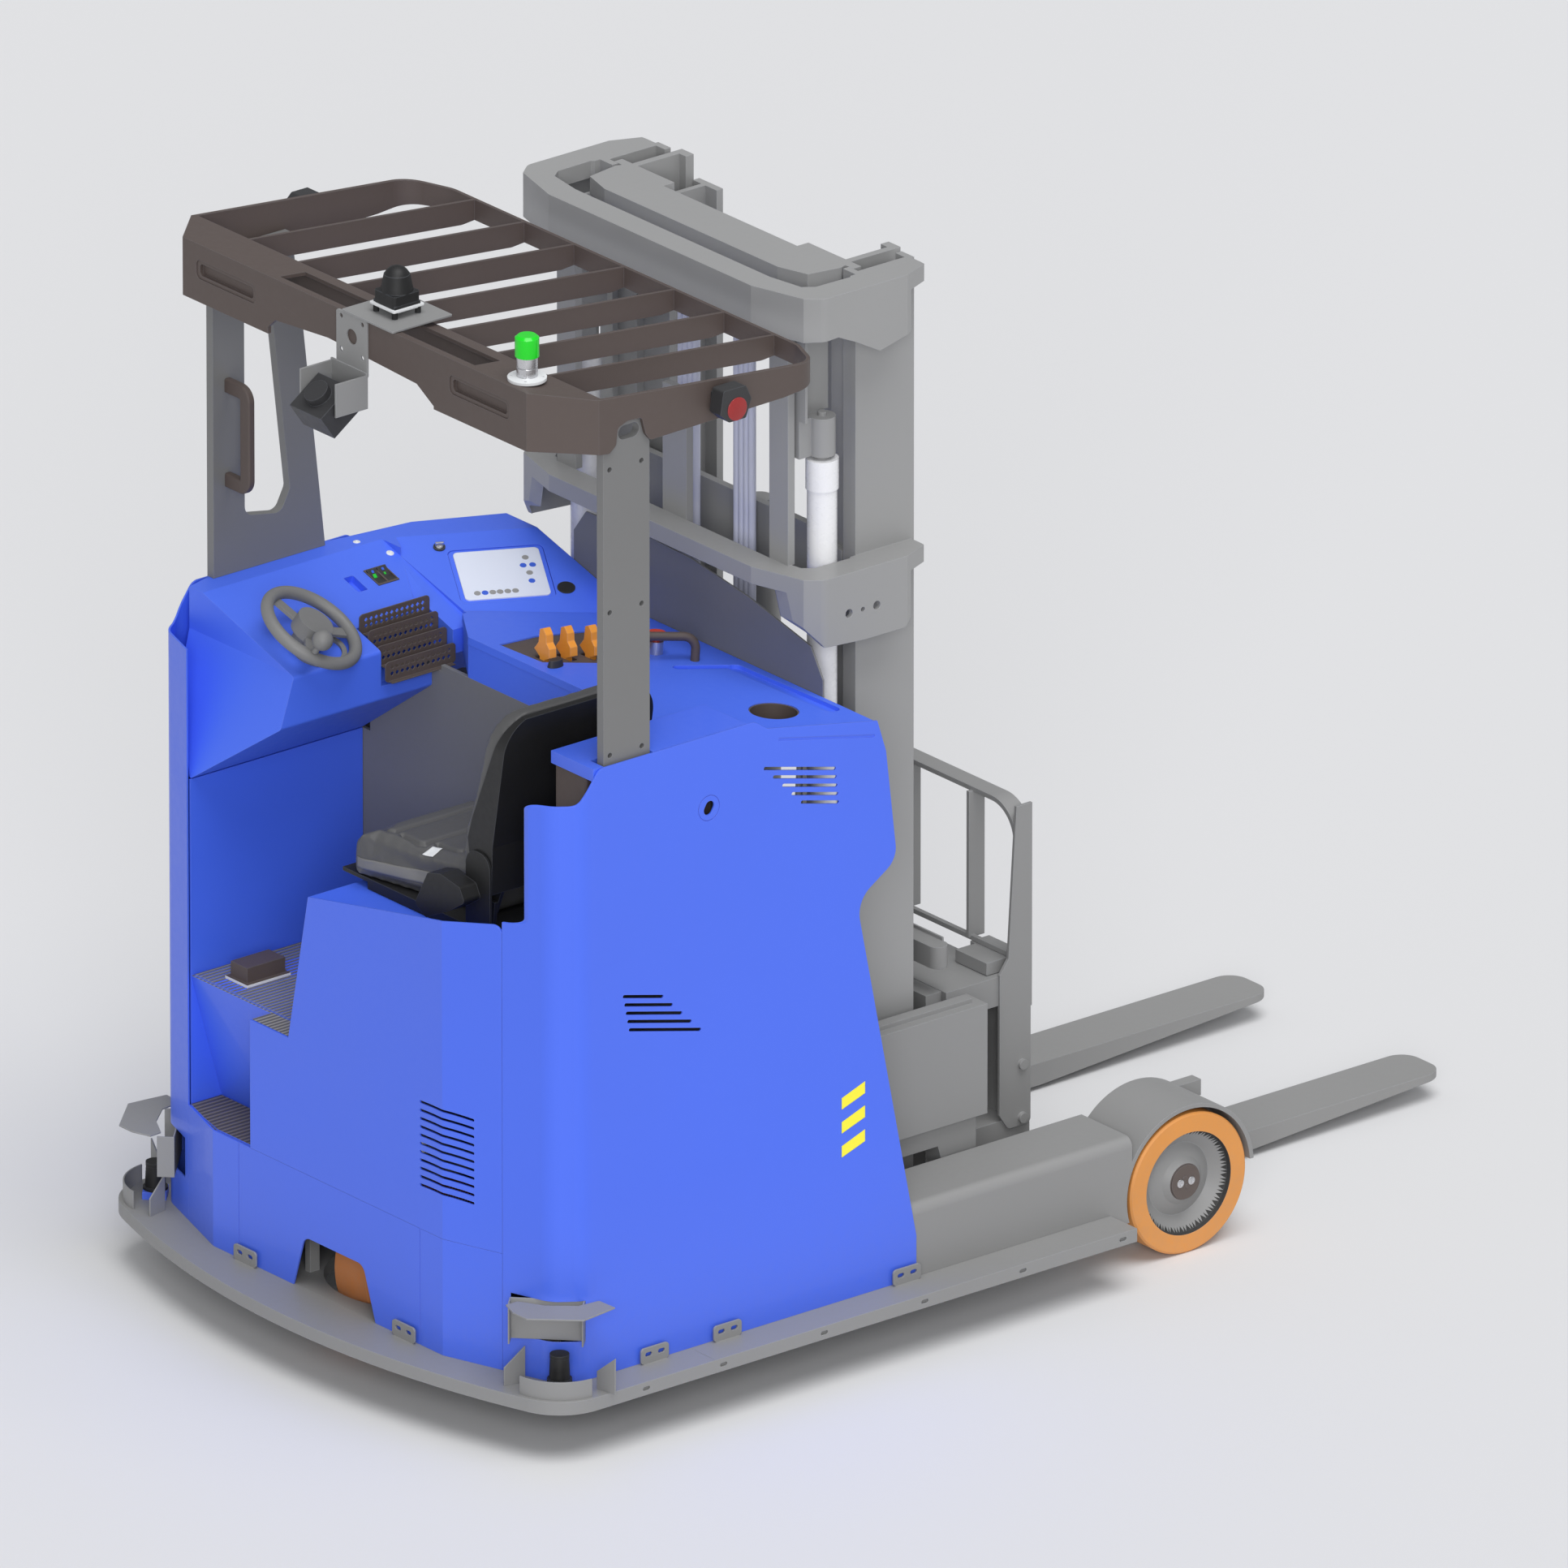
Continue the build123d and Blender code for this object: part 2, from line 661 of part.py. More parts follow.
# Bulkhead between cab and mast, and the guard plate in front of the mast
with BuildPart() as bulkhead:
    with BuildSketch(Plane.YZ.offset(bulkhead_x)):
        with Locations((0, ring_top)):
            Rectangle(2 * (leg_inner - 4), bulkhead_top - ring_top, align=(Align.CENTER, Align.MIN))
        with Locations((0, leg_top)):
            Rectangle(2 * (leg_outer - 0.7), inner_wall_top - leg_top, align=(Align.CENTER, Align.MIN))
    extrude(amount=bulkhead_wall)
    with BuildSketch(Plane.YZ.offset(console_front - 0.7)):
        with BuildLine():
            Polyline(
                (-470, 1200),
                (-470, 1372),
                (-432, 1432),
                (-240, 1476),
                (-60, 1502),
                (60, 1506),
                (270, 1500),
                (308, 1450),
                (308, 1200),
                close=True,
            )
        make_face()
        fillet(vertices().group_by(Axis.Y)[-1], 30)
    extrude(amount=4)
    with Locations((bulkhead_x, 268, bulkhead_top)):
        Box(40, 40, 2 * (bulkhead_top - rack_front_z), mode=Mode.SUBTRACT)
keep(bulkhead.part, "bulkhead")

# Battery with its lid edge and lifting slots
with BuildPart() as battery:
    with Locations(((battery_rear + battery_front) / 2, 0, battery_bottom)):
        Box(
            battery_front - battery_rear,
            2 * battery_half_width,
            battery_top - battery_bottom,
            align=(Align.CENTER, Align.CENTER, Align.MIN),
        )
    chamfer(edges().filter_by(Axis.Z), 6)
    with Locations(((battery_rear + battery_front) / 2, 0, battery_top)):
        with GridLocations(0.1, 2 * battery_half_width - 120, 1, 2):
            Box(120, 30, 60, mode=Mode.SUBTRACT)
    # The cells are lighter than steel, so the block is a thick box
    with Locations(((battery_rear + battery_front) / 2, 0, (battery_bottom + battery_top) / 2 - 30)):
        Box(240, 1080, 620, mode=Mode.SUBTRACT)
keep(battery.part, "battery")

# Dash pod: one moulding with a rim, the steering facet, the display facet and the rack recess
display_at = (158.5, -137.0)
lock_at = (50.0, -41.6)
socket_at = (277.0, -195.0)
rack_left, rack_right = -873.0, -696.0
rack_gap = 2.0
switch_spot = (-718.0, -98.0)
facet = Plane(origin=(-588, 542, dash_top), x_dir=(0.883, -0.47, 0), z_dir=(-0.147, -0.276, 1))
steering_facet = Plane(
    origin=(0, dash_rim_y + 14, dash_top),
    x_dir=(1, 0, 0),
    z_dir=(0, dash_front_z - dash_top, dash_rim_y + 14 - dash_front_y),
)
with BuildPart() as dash:
    with BuildSketch(Plane.XY.offset(1060)):
        with BuildLine():
            Polyline(
                (-1182, dash_front_y),
                (-1182, 496),
                (-1130, 598),
                (-1000, 634),
                (-740, 626),
                (-539, 601),
                (-364, 519),
                (-364, 99),
                (-431, 143),
                (-660, 290),
                (-660, dash_front_y),
                close=True,
            )
        make_face()
    extrude(amount=dash_top - 1060)
    # Side view: rim, sloping top, front face and receding underside
    with BuildSketch(Plane.YZ.offset(-1182)):
        with BuildLine():
            Polyline(
                (640, dash_top),
                (dash_rim_y + 14, dash_top),
                (dash_front_y, dash_front_z),
                (dash_front_y, 1227),
                (496, 1070),
                (640, 1070),
                close=True,
            )
        make_face()
        fillet(vertices().sort_by(Axis.X)[:2], 9)
    side_view = extrude(amount=bulkhead_x - plate_gap + 1182, mode=Mode.PRIVATE)
    with BuildSketch(Plane.YZ.offset(bulkhead_x - plate_gap)):
        with BuildLine():
            Polyline(
                (640, dash_top),
                (dash_rim_y + 14, dash_top),
                (dash_front_y, dash_front_z),
                (60, dash_front_z),
                (60, bulkhead_top + plate_gap),
                (640, bulkhead_top + plate_gap),
                close=True,
            )
        make_face()
    steering_side = extrude(amount=-640 - bulkhead_x, mode=Mode.PRIVATE)
    with BuildSketch(Plane.YZ.offset(-641)):
        with Locations((350, dash_top)):
            Rectangle(580, dash_top - bulkhead_top - plate_gap, align=(Align.CENTER, Align.MAX))
    front_view = steering_side + extrude(amount=280, mode=Mode.PRIVATE)
    add(side_view + front_view, mode=Mode.INTERSECT)
    # Slanted rear face of the pod
    with BuildSketch(Plane.XZ.offset(-dash_front_y + 10)):
        with BuildLine():
            Polyline((-1183, 1069), (-1183, 1425), (-1094, 1425), (-1094, 1333), (-1180, 1069), close=True)
        make_face()
    extrude(amount=-400, mode=Mode.SUBTRACT)
    # Display facet, sunk towards the lever console
    with BuildSketch(facet):
        with Locations((160, -300)):
            Rectangle(380, 600)
    extrude(amount=150, mode=Mode.SUBTRACT)
    # Recess that holds the document rack
    with BuildSketch(Plane.YZ.offset(rack_left - rack_gap)):
        with BuildLine():
            Polyline((260, 1256), (260, 1440), (356, 1440), (356, 1336), (296, 1256), close=True)
        make_face()
    extrude(amount=rack_right - rack_left + 2 * rack_gap, mode=Mode.SUBTRACT)
    # Seats for the display, the switches, the lock, the socket and the steering column
    with BuildSketch(facet):
        with Locations(display_at):
            RectangleRounded(192, 168, 14)
    extrude(amount=-6, mode=Mode.SUBTRACT)
    with BuildSketch(facet):
        with Locations(lock_at):
            Circle(12.1)
        with Locations(socket_at):
            Circle(16)
    extrude(amount=-24, mode=Mode.SUBTRACT)
    with BuildSketch(steering_facet):
        with Locations((-784, -100)):
            RectangleRounded(24, 50, 3)
        with Locations(switch_spot):
            Rectangle(52, 52)
    extrude(amount=-16, mode=Mode.SUBTRACT)
keep(dash.part, "dash")

# Document rack of four perforated tiers
tier_run, tier_rise = 27.2, 25.2
tier_height = 43.0
with BuildPart() as document_rack:
    for tier in range(4):
        tier_y = rack_front_y + tier_run * tier
        tier_base = rack_front_z + tier_rise * tier
        with BuildSketch(Plane.XZ.offset(-tier_y)):
            with Locations(((rack_left + rack_right) / 2, tier_base + tier_height / 2)):
                RectangleRounded(rack_right - rack_left, tier_height, 9)
                with Locations((0, 2)):
                    with GridLocations(13, 13, 12, 2):
                        Rectangle(7, 7, rotation=45, mode=Mode.SUBTRACT)
        extrude(amount=2)
        with BuildSketch(Plane.XY.offset(tier_base)):
            with Locations(((rack_left + rack_right) / 2, tier_y - 1)):
                depth = 12 if tier == 0 else tier_run + 1
                Rectangle(rack_right - rack_left - 18, depth, align=(Align.CENTER, Align.MAX))
        extrude(amount=2)
keep(document_rack.part, "document_rack")

# Steering wheel on its column, tilted towards the driver
wheel_center = (-1008.0, 330.0, 1397.0)
wheel_plane = Plane(origin=wheel_center, x_dir=(0.501, -0.6835, -0.53), z_dir=(0.2635, -0.4638, 0.8464))
wheel_rim_radius = 100.0
knob_at = (33.0, -94.5)
with BuildPart() as steering_column:
    with BuildSketch(wheel_plane.offset(-16)):
        Circle(24)
    extrude(amount=-70)
    with BuildSketch(wheel_plane.offset(-16)):
        Circle(9)
    extrude(amount=12)
    add(dash.part, mode=Mode.SUBTRACT)
    with BuildSketch(steering_facet):
        with Locations((-992, -250)):
            Circle(56)
            Circle(46, mode=Mode.SUBTRACT)
    extrude(amount=6)

with BuildPart() as steering_wheel:
    with BuildSketch(wheel_plane.offset(-15.7)):
        Circle(39)
        Circle(9.06, mode=Mode.SUBTRACT)
    extrude(amount=30)
    with BuildSketch(wheel_plane.offset(14.3)):
        Circle(39)
    extrude(amount=5)
    fillet(edges().group_by(lambda edge: round(abs(edge.length - 2 * 3.14159 * 39), 0))[0][-1], 3)
    for arm in (0, 120, 240):
        with BuildSketch(wheel_plane.offset(-9)):
            with PolarLocations(62, 1, start_angle=arm - 71):
                Rectangle(76, 22)
        extrude(amount=7)
    with Locations(wheel_plane):
        Torus(wheel_rim_radius, 13)
    # Bore in the rim for the pin of the spinner knob
    with BuildSketch(wheel_plane.offset(-2)):
        with Locations(knob_at):
            Circle(4.06)
    extrude(amount=20, mode=Mode.SUBTRACT)
keep(steering_wheel.part, "steering_wheel")

with BuildPart() as spinner_knob:
    with BuildSketch(wheel_plane.offset(-1.8)):
        with Locations(knob_at):
            Circle(4)
    extrude(amount=20)
    with BuildSketch(wheel_plane.offset(13.2)):
        with Locations(knob_at):
            Circle(7)
    extrude(amount=25)
    with Locations(wheel_plane.offset(46)):
        with Locations((*knob_at, 0)):
            Sphere(21)
keep(spinner_knob.part, "spinner_knob")

# Display, key switch, rocker switches and socket on the dash
with BuildPart() as display:
    with BuildSketch(facet.offset(-6)):
        with Locations(display_at):
            RectangleRounded(190, 166, 13)
    extrude(amount=4)
    with BuildSketch(facet.offset(-2)):
        with Locations(display_at):
            RectangleRounded(172, 150, 10)
    extrude(amount=2.5)

with BuildPart() as dash_fittings:
    with BuildSketch(facet.offset(-24)):
        with Locations(lock_at):
            Circle(12)
            Circle(7.06, mode=Mode.SUBTRACT)
    extrude(amount=27)
    with BuildSketch(facet.offset(-24)):
        with Locations(socket_at):
            Circle(15.9)
    extrude(amount=25)
    with BuildSketch(facet):
        with Locations(socket_at):
            Circle(18)
    extrude(amount=2)
    with BuildSketch(steering_facet.offset(-16)):
        with Locations(switch_spot):
            Rectangle(51.6, 51.6)
            with Locations((-12.6, 0), (12.6, 0)):
                Rectangle(22.2, 44, mode=Mode.SUBTRACT)
    extrude(amount=18)
    with BuildSketch(steering_facet.offset(-16)):
        with Locations(switch_spot):
            Rectangle(51.6, 51.6)
    extrude(amount=2)
    add(steering_column.part)
    add(display.part)
keep(dash_fittings.part, "dash_fittings")

for number, shift in ((1, -12.6), (2, 12.6)):
    rocker_plane = Plane(
        origin=steering_facet.from_local_coords((switch_spot[0] + shift, switch_spot[1], 0)),
        x_dir=(1, 0, 0),
        z_dir=steering_facet.z_dir,
    )
    with BuildPart() as rocker:
        rocker_side = rocker_plane.from_local_coords((-11, 0, 0))
        with BuildSketch(Plane(origin=rocker_side, x_dir=rocker_plane.y_dir, z_dir=(1, 0, 0))):
            with BuildLine():
                Polyline((-20, 1), (0, -3), (20, 7), (20, 2), (4, -10), (-4, -10), (-20, -4), close=True)
            make_face()
            fillet(vertices().sort_by(Axis.X)[:1], 1)
        extrude(amount=22)
    keep(rocker.part, f"rocker_switch_{number}")

with BuildPart() as key_switch:
    with BuildSketch(facet.offset(-20)):
        with Locations(lock_at):
            Circle(7)
    extrude(amount=24)
    with BuildSketch(facet.offset(4)):
        with Locations(lock_at):
            SlotOverall(17, 4)
    extrude(amount=9)
keep(key_switch.part, "key_switch")

# Lever console: sloping top plate, apron towards the seat and front edge
console_slope = (console_rear_z - console_front_z) / (console_front - bulkhead_x)
console_plane = Plane(
    origin=(bulkhead_x, 0, console_rear_z),
    x_dir=(1, 0, -console_slope),
    z_dir=(console_slope, 0, 1),
)
console_thickness = 16.0
cup_at = (250.0, -484.0)
cup_radius = 50.0
lever_rows = ((56.0, -11.0), (99.0, -24.0), (144.0, -44.0), (188.0, -64.0))
lever_plate = ((25, 97), (121, 100), (221, 73), (250, 10), (222, -86), (129, -90), (33, -29))
knob_spot = (41.0, -60.0)
stop_spot = (262.0, -100.0)
with BuildPart() as console:
    with BuildSketch(console_plane):
        with BuildLine():
            Polyline(
                (0, -634),
                (384, -634),
                (384, 98),
                (317.5, 141),
                (88.5, 288),
                (88.5, 276.5),
                (77, 276.5),
                (0, 163),
                close=True,
            )
        make_face()
    extrude(amount=-console_thickness)
    with BuildSketch(Plane.XY.offset(bulkhead_top)):
        with BuildLine():
            Polyline(
                (bulkhead_x, -474),
                (bulkhead_x, 163),
                (-671, 275),
                (-665, 275),
                (bulkhead_x + 5, 160),
                (bulkhead_x + 5, -474),
                close=True,
            )
        make_face()
    extrude(amount=console_rear_z - bulkhead_top - console_thickness + 2)
    with BuildSketch(Plane.XY.offset(1283)):
        with Locations((console_front - 1, -634)):
            Rectangle(4, 634 + 98, align=(Align.MAX, Align.MIN))
    extrude(amount=console_front_z - 1283 - console_thickness + 3)
    # Cup holder well, the two grooves and the sunk lever plate
    with BuildSketch(console_plane):
        with Locations(cup_at):
            Circle(cup_radius)
        for lever_x, lever_y in lever_rows:
            with Locations((lever_x, lever_y)):
                RectangleRounded(22, 52, 4)
        with Locations(knob_spot, stop_spot):
            Circle(8.06)
    extrude(amount=-console_thickness, mode=Mode.SUBTRACT)
    with BuildSketch(console_plane):
        with Locations((291, -212)):
            SlotOverall(120, 22, rotation=-28)
        with Locations((350, -390)):
            SlotOverall(320, 34, rotation=92)
        with BuildLine():
            Polyline(*lever_plate, close=True)
        make_face()
    extrude(amount=-9, mode=Mode.SUBTRACT)
keep(console.part, "console")

# Plate under the levers, with the cup insert
with BuildPart() as lever_panel:
    with BuildSketch(console_plane.offset(-9)):
        with BuildLine():
            Polyline(*lever_plate, close=True)
        make_face()
        offset(amount=-0.3)
        for lever_x, lever_y in lever_rows:
            with Locations((lever_x, lever_y)):
                RectangleRounded(20, 46, 4, mode=Mode.SUBTRACT)
        with Locations(knob_spot):
            Circle(16, mode=Mode.SUBTRACT)
    extrude(amount=6)

with BuildPart() as cup_insert:
    with BuildSketch(console_plane.offset(-72)):
        with Locations(cup_at):
            Circle(cup_radius - 0.3)
    extrude(amount=70)
    with BuildSketch(console_plane.offset(-69)):
        with Locations(cup_at):
            Circle(cup_radius - 3)
    extrude(amount=68, mode=Mode.SUBTRACT)

lever_pivot_depth = 26.0
with BuildPart() as lever_block:
    # Pivot rail below the console, with one fork for each lever
    first_x, first_y = lever_rows[0]
    last_x, last_y = lever_rows[3]
    with BuildSketch(console_plane.offset(-console_thickness - 24)):
        for lever_x, lever_y in lever_rows:
            with Locations((lever_x, lever_y)):
                with Locations((-13.5, 0), (13.5, 0)):
                    Rectangle(5, 26)
    extrude(amount=23.7)
    with BuildSketch(console_plane.offset(-console_thickness - 28)):
        with Locations(((first_x + last_x) / 2, (first_y + last_y) / 2)):
            Rectangle(176, 34, rotation=-22)
    extrude(amount=4)
    for lever_x, lever_y in lever_rows:
        pin_plane = Plane(
            origin=console_plane.from_local_coords((lever_x - 15, lever_y, -lever_pivot_depth)),
            x_dir=(0, 1, 0),
            z_dir=console_plane.x_dir,
        )
        with BuildSketch(pin_plane):
            Circle(3)
        extrude(amount=30)

for number, (lever_x, lever_y) in enumerate(lever_rows, 1):
    lever_side = Plane(
        origin=console_plane.from_local_coords((lever_x - 9, lever_y, 0)),
        x_dir=(0, 1, 0),
        z_dir=console_plane.x_dir,
    )
    with BuildPart() as lever:
        # Side view of the paddle: a stepped grip that leans away from the driver
        with BuildSketch(lever_side):
            with BuildLine():
                Polyline(
                    (-6, -lever_pivot_depth - 6),
                    (6, -lever_pivot_depth - 6),
                    (8, 2),
                    (26, 14),
                    (14, 30),
                    (12, 58),
                    (2, 62),
                    (-8, 50),
                    (-10, 34),
                    (-20, 24),
                    (-22, 6),
                    (-6, -2),
                    close=True,
                )
            make_face()
            with Locations((0, -lever_pivot_depth)):
                Circle(3.06, mode=Mode.SUBTRACT)
            fillet(vertices().sort_by(Axis.Y)[-3:], 3)
        extrude(amount=18)
    keep(lever.part, f"hydraulic_lever_{number}")

with BuildPart() as function_knob:
    with BuildSketch(console_plane.offset(-console_thickness)):
        with Locations(knob_spot):
            Circle(8)
    extrude(amount=console_thickness + 1)
    with BuildSketch(console_plane.offset(0.3)):
        with Locations(knob_spot):
            Ellipse(20, 12, rotation=10)
    extrude(amount=14, taper=12)
keep(function_knob.part, "function_knob")

with BuildPart() as stop_base:
    with BuildSketch(console_plane):
        with Locations(stop_spot):
            Circle(15)
            Circle(8.06, mode=Mode.SUBTRACT)
    extrude(amount=26)
with BuildPart() as console_inserts:
    add(lever_panel.part)
    add(cup_insert.part)
    add(lever_block.part)
    add(stop_base.part)
keep(console_inserts.part, "console_inserts")

with BuildPart() as stop_button:
    with BuildSketch(console_plane.offset(-4)):
        with Locations(stop_spot):
            Circle(8)
    extrude(amount=36)
    with BuildSketch(console_plane.offset(32)):
        with Locations(stop_spot):
            Circle(20)
    extrude(amount=12, taper=8)
keep(stop_button.part, "emergency_stop")

# Bent tube bar beside the emergency stop
bar_radius = 9.0
bar_foot_1, bar_foot_2 = (302.0, -174.0), (190.0, -106.0)
with BuildPart() as grab_bar:
    with BuildLine():
        bar_path = FilletPolyline(
            console_plane.from_local_coords((*bar_foot_1, 0)),
            console_plane.from_local_coords((*bar_foot_1, 50)),
            console_plane.from_local_coords((*bar_foot_2, 50)),
            console_plane.from_local_coords((*bar_foot_2, 0)),
            radius=26,
        )
    with BuildSketch(Plane(origin=bar_path @ 0, z_dir=bar_path % 0)):
        Circle(bar_radius)
    sweep(path=bar_path)
keep(grab_bar.part, "grab_bar")

# Equipment box behind the seat, with its lid that carries on as the armrest
box_left, box_right = -1068.0, -752.0
box_near, box_far = -604.0, -507.0
lid_reach, lid_sheet = 6.0, 4.0
box_top = 1403.0
with BuildPart() as equipment_box:
    with BuildSketch(Plane.XY.offset(platform_top)):
        with Locations(((box_left + box_right) / 2, (box_near + box_far) / 2)):
            RectangleRounded(box_right - box_left, box_far - box_near, 6)
            RectangleRounded(box_right - box_left - 6, box_far - box_near - 6, 4, mode=Mode.SUBTRACT)
    extrude(amount=box_top - platform_top)
keep(equipment_box.part, "equipment_box")

with BuildPart() as armrest_lid:
    with BuildSketch(Plane.XZ.offset(-box_far - 4)):
        with BuildLine():
            Polyline(
                (box_left - lid_reach, box_top - 14),
                (box_left - lid_reach, box_top + 12),
                (-690, box_top + 12),
                (-640, 1372),
                (-640, 1358),
                (-700, box_top),
                (box_left - lid_reach + lid_sheet, box_top),
                (box_left - lid_reach + lid_sheet, box_top - 14),
                close=True,
            )
        make_face()
    extrude(amount=634 + box_far + 4)
    with Locations((-986, -619.3, box_top)):
        Box(124, post_wall + 34, 60, mode=Mode.SUBTRACT)
    with BuildSketch(Plane.XY.offset(box_top - 70)):
        add(cab_plan(console_front, panel_wall + 0.5))
    extrude(amount=100, mode=Mode.INTERSECT)
keep(armrest_lid.part, "armrest_lid")

# Seat: fixed rails, sliding pan, cushion, folding backrest
seat_left, seat_right = -1142.0, -756.0
seat_rear, seat_front = -400.0, 70.0
rail_height = 16.0
rail_x = 120.0
seat_middle = (seat_left + seat_right) / 2
pan_width = 342.0
cover_sheet = 4.7
hinge_y, hinge_z = -352.0, 1046.0
hinge_radius = 8.0

# Seat platform: top plate and the apron towards the footwell
with BuildPart() as seat_platform:
    with BuildSketch(Plane.XY.offset(platform_top)):
        add(cab_plan(bulkhead_x, panel_wall + 0.5))
        with Locations((0, platform_edge_y)):
            Rectangle(4000, 2000, align=(Align.CENTER, Align.MIN), mode=Mode.SUBTRACT)
        with Locations((-986, -619.5)):
            Rectangle(124, post_wall + 24, mode=Mode.SUBTRACT)
    extrude(amount=-sheet)
    with BuildSketch(Plane.XZ.offset(-platform_edge_y)):
        with BuildLine():
            Polyline(
                (bulkhead_x - 1, floor_top - sheet),
                (bulkhead_x - 1, platform_top),
                (cab_rear + panel_wall + 0.5, platform_top),
                (cab_rear + panel_wall + 0.5, floor_top - sheet),
                close=True,
            )
        make_face()
    extrude(amount=sheet)
    # Rails that carry the sliding seat
    with Locations((seat_middle, -165, platform_top)):
        with GridLocations(2 * rail_x, 1, 2, 1):
            Box(34, 430, rail_height - 10, align=(Align.CENTER, Align.CENTER, Align.MIN))
            Box(16, 430, rail_height, align=(Align.CENTER, Align.CENTER, Align.MIN))
keep(seat_platform.part, "seat_platform")


with BuildPart() as seat_pan:
    with Locations((seat_middle, -165, platform_top + rail_height + running_gap)):
        Box(pan_width, 430, 8, align=(Align.CENTER, Align.CENTER, Align.MIN))
    with Locations((seat_middle, -165, platform_top + 4)):
        with GridLocations(2 * rail_x, 1, 2, 1):
            with Locations((-20.5, 0, 0), (20.5, 0, 0)):
                Box(6, 380, rail_height - 2, align=(Align.CENTER, Align.CENTER, Align.MIN))
    # Tray lip under the front of the cushion and the skirt round the rails
    with Locations((seat_middle, 68, platform_top + rail_height + running_gap)):
        Box(pan_width, 50, 8, align=(Align.CENTER, Align.CENTER, Align.MIN))
    for skirt_x in (seat_middle - pan_width / 2 + 2, seat_middle + pan_width / 2 - 2):
        with Locations((skirt_x, -165, platform_top + 1)):
            Box(4, 360, rail_height, align=(Align.CENTER, Align.CENTER, Align.MIN))
    # Round-topped side covers that reach up beside the backrest
    for cover_x in (seat_left, seat_right - cover_sheet):
        with BuildSketch(Plane.YZ.offset(cover_x)):
            with Locations((-358, platform_top + rail_height + 0.5)):
                Rectangle(76, 186, align=(Align.CENTER, Align.MIN))
            fillet(vertices().group_by(Axis.Y)[-1], 34)
        extrude(amount=cover_sheet)
    with Locations((seat_middle, -358, platform_top + rail_height + running_gap)):
        Box(seat_right - seat_left, 60, 8, align=(Align.CENTER, Align.CENTER, Align.MIN))
    # Cheek plates with the hinge pins of the backrest
    for cheek_x in (seat_left + 30, seat_right - 38):
        with BuildSketch(Plane.YZ.offset(cheek_x)):
            with BuildLine():
                Polyline(
                    (-365, platform_top + rail_height + 4),
                    (-300, platform_top + rail_height + 4),
                    (-330, hinge_z + 16),
                    (-374, hinge_z + 16),
                    close=True,
                )
            make_face()
        extrude(amount=8)
    with BuildSketch(Plane.YZ.offset(seat_left + 30)):
        with Locations((hinge_y, hinge_z)):
            Circle(hinge_radius)
    extrude(amount=24)
    with BuildSketch(Plane.YZ.offset(seat_right - 30)):
        with Locations((hinge_y, hinge_z)):
            Circle(hinge_radius)
    extrude(amount=-24)
    # Belt reel housing on the left of the seat
    with BuildSketch(Plane.YZ.offset(seat_left + cover_sheet)):
        with BuildLine():
            Polyline(
                (-212, 1030),
                (-252, 1106),
                (-291, 1116),
                (-352, 1106),
                (-368, 1078),
                (-323, 1048),
                (-246, 1009),
                close=True,
            )
        make_face()
        fillet(vertices(), 9)
    extrude(amount=-46)
keep(seat_pan.part, "seat_pan")

cushion_bottom = platform_top + rail_height + running_gap + 8
cushion_top = 1082.0
cushion_rear = -290.0
cushion_half_front, cushion_half_rear = 184.0, 108.0
with BuildPart() as seat_cushion:
    with BuildSketch(Plane.YZ.offset(seat_left)):
        with BuildLine():
            Polyline(
                (cushion_rear, cushion_bottom),
                (seat_front - 12, cushion_bottom),
                (seat_front + 6, cushion_bottom + 30),
                (seat_front, cushion_top - 26),
                (seat_front - 30, cushion_top),
                (-120, cushion_top - 8),
                (cushion_rear, cushion_top),
                close=True,
            )
        make_face()
    extrude(amount=seat_right - seat_left)
    # Plan: narrower towards the backrest, round at the front corners
    with BuildSketch(Plane.XY.offset(cushion_bottom)):
        with BuildLine():
            Polyline(
                (seat_middle - cushion_half_front, seat_front + 6),
                (seat_middle + cushion_half_front, seat_front + 6),
                (seat_middle + cushion_half_rear, cushion_rear),
                (seat_middle - cushion_half_rear, cushion_rear),
                close=True,
            )
        make_face()
        fillet(vertices().group_by(Axis.Y)[-1], 34)
    extrude(amount=cushion_top - cushion_bottom, mode=Mode.INTERSECT)
keep(seat_cushion.part, "seat_cushion")

backrest_top = 1475.0
backrest_corner = 80.0
with BuildPart() as backrest_shell:
    with BuildSketch(Plane.YZ.offset(seat_left + cover_sheet + 0.8)):
        with BuildLine():
            Polyline(
                (-394, 1090),
                (-397, 1190),
                (-446, backrest_top - 8),
                (-432, backrest_top - 6),
                (-419, 1440),
                (-333, 1234),
                (-320, 1190),
                (-332, 1112),
                (-372, 1100),
                close=True,
            )
        make_face()
    extrude(amount=seat_right - seat_left - 2 * cover_sheet - 1.6)
    with BuildSketch(Plane.XZ):
        with Locations((seat_middle, hinge_z)):
            Rectangle(
                seat_right - seat_left - 2 * cover_sheet - 1.6,
                backrest_top - hinge_z,
                align=(Align.CENTER, Align.MIN),
            )
        fillet(vertices().group_by(Axis.Y)[-1], backrest_corner)
    extrude(amount=600, mode=Mode.INTERSECT)
    for arm_x in (seat_left + 38.4, seat_right - 46.4):
        with BuildSketch(Plane.YZ.offset(arm_x)):
            with BuildLine():
                Polyline(
                    (hinge_y - 16, hinge_z),
                    (hinge_y - 40, hinge_z + 60),
                    (hinge_y - 8, hinge_z + 72),
                    (hinge_y + 14, hinge_z + 8),
                    close=True,
                )
            make_face()
            with Locations((hinge_y, hinge_z)):
                Circle(16)
                Circle(hinge_radius + 0.08, mode=Mode.SUBTRACT)
        extrude(amount=8)
keep(backrest_shell.part, "backrest_shell")

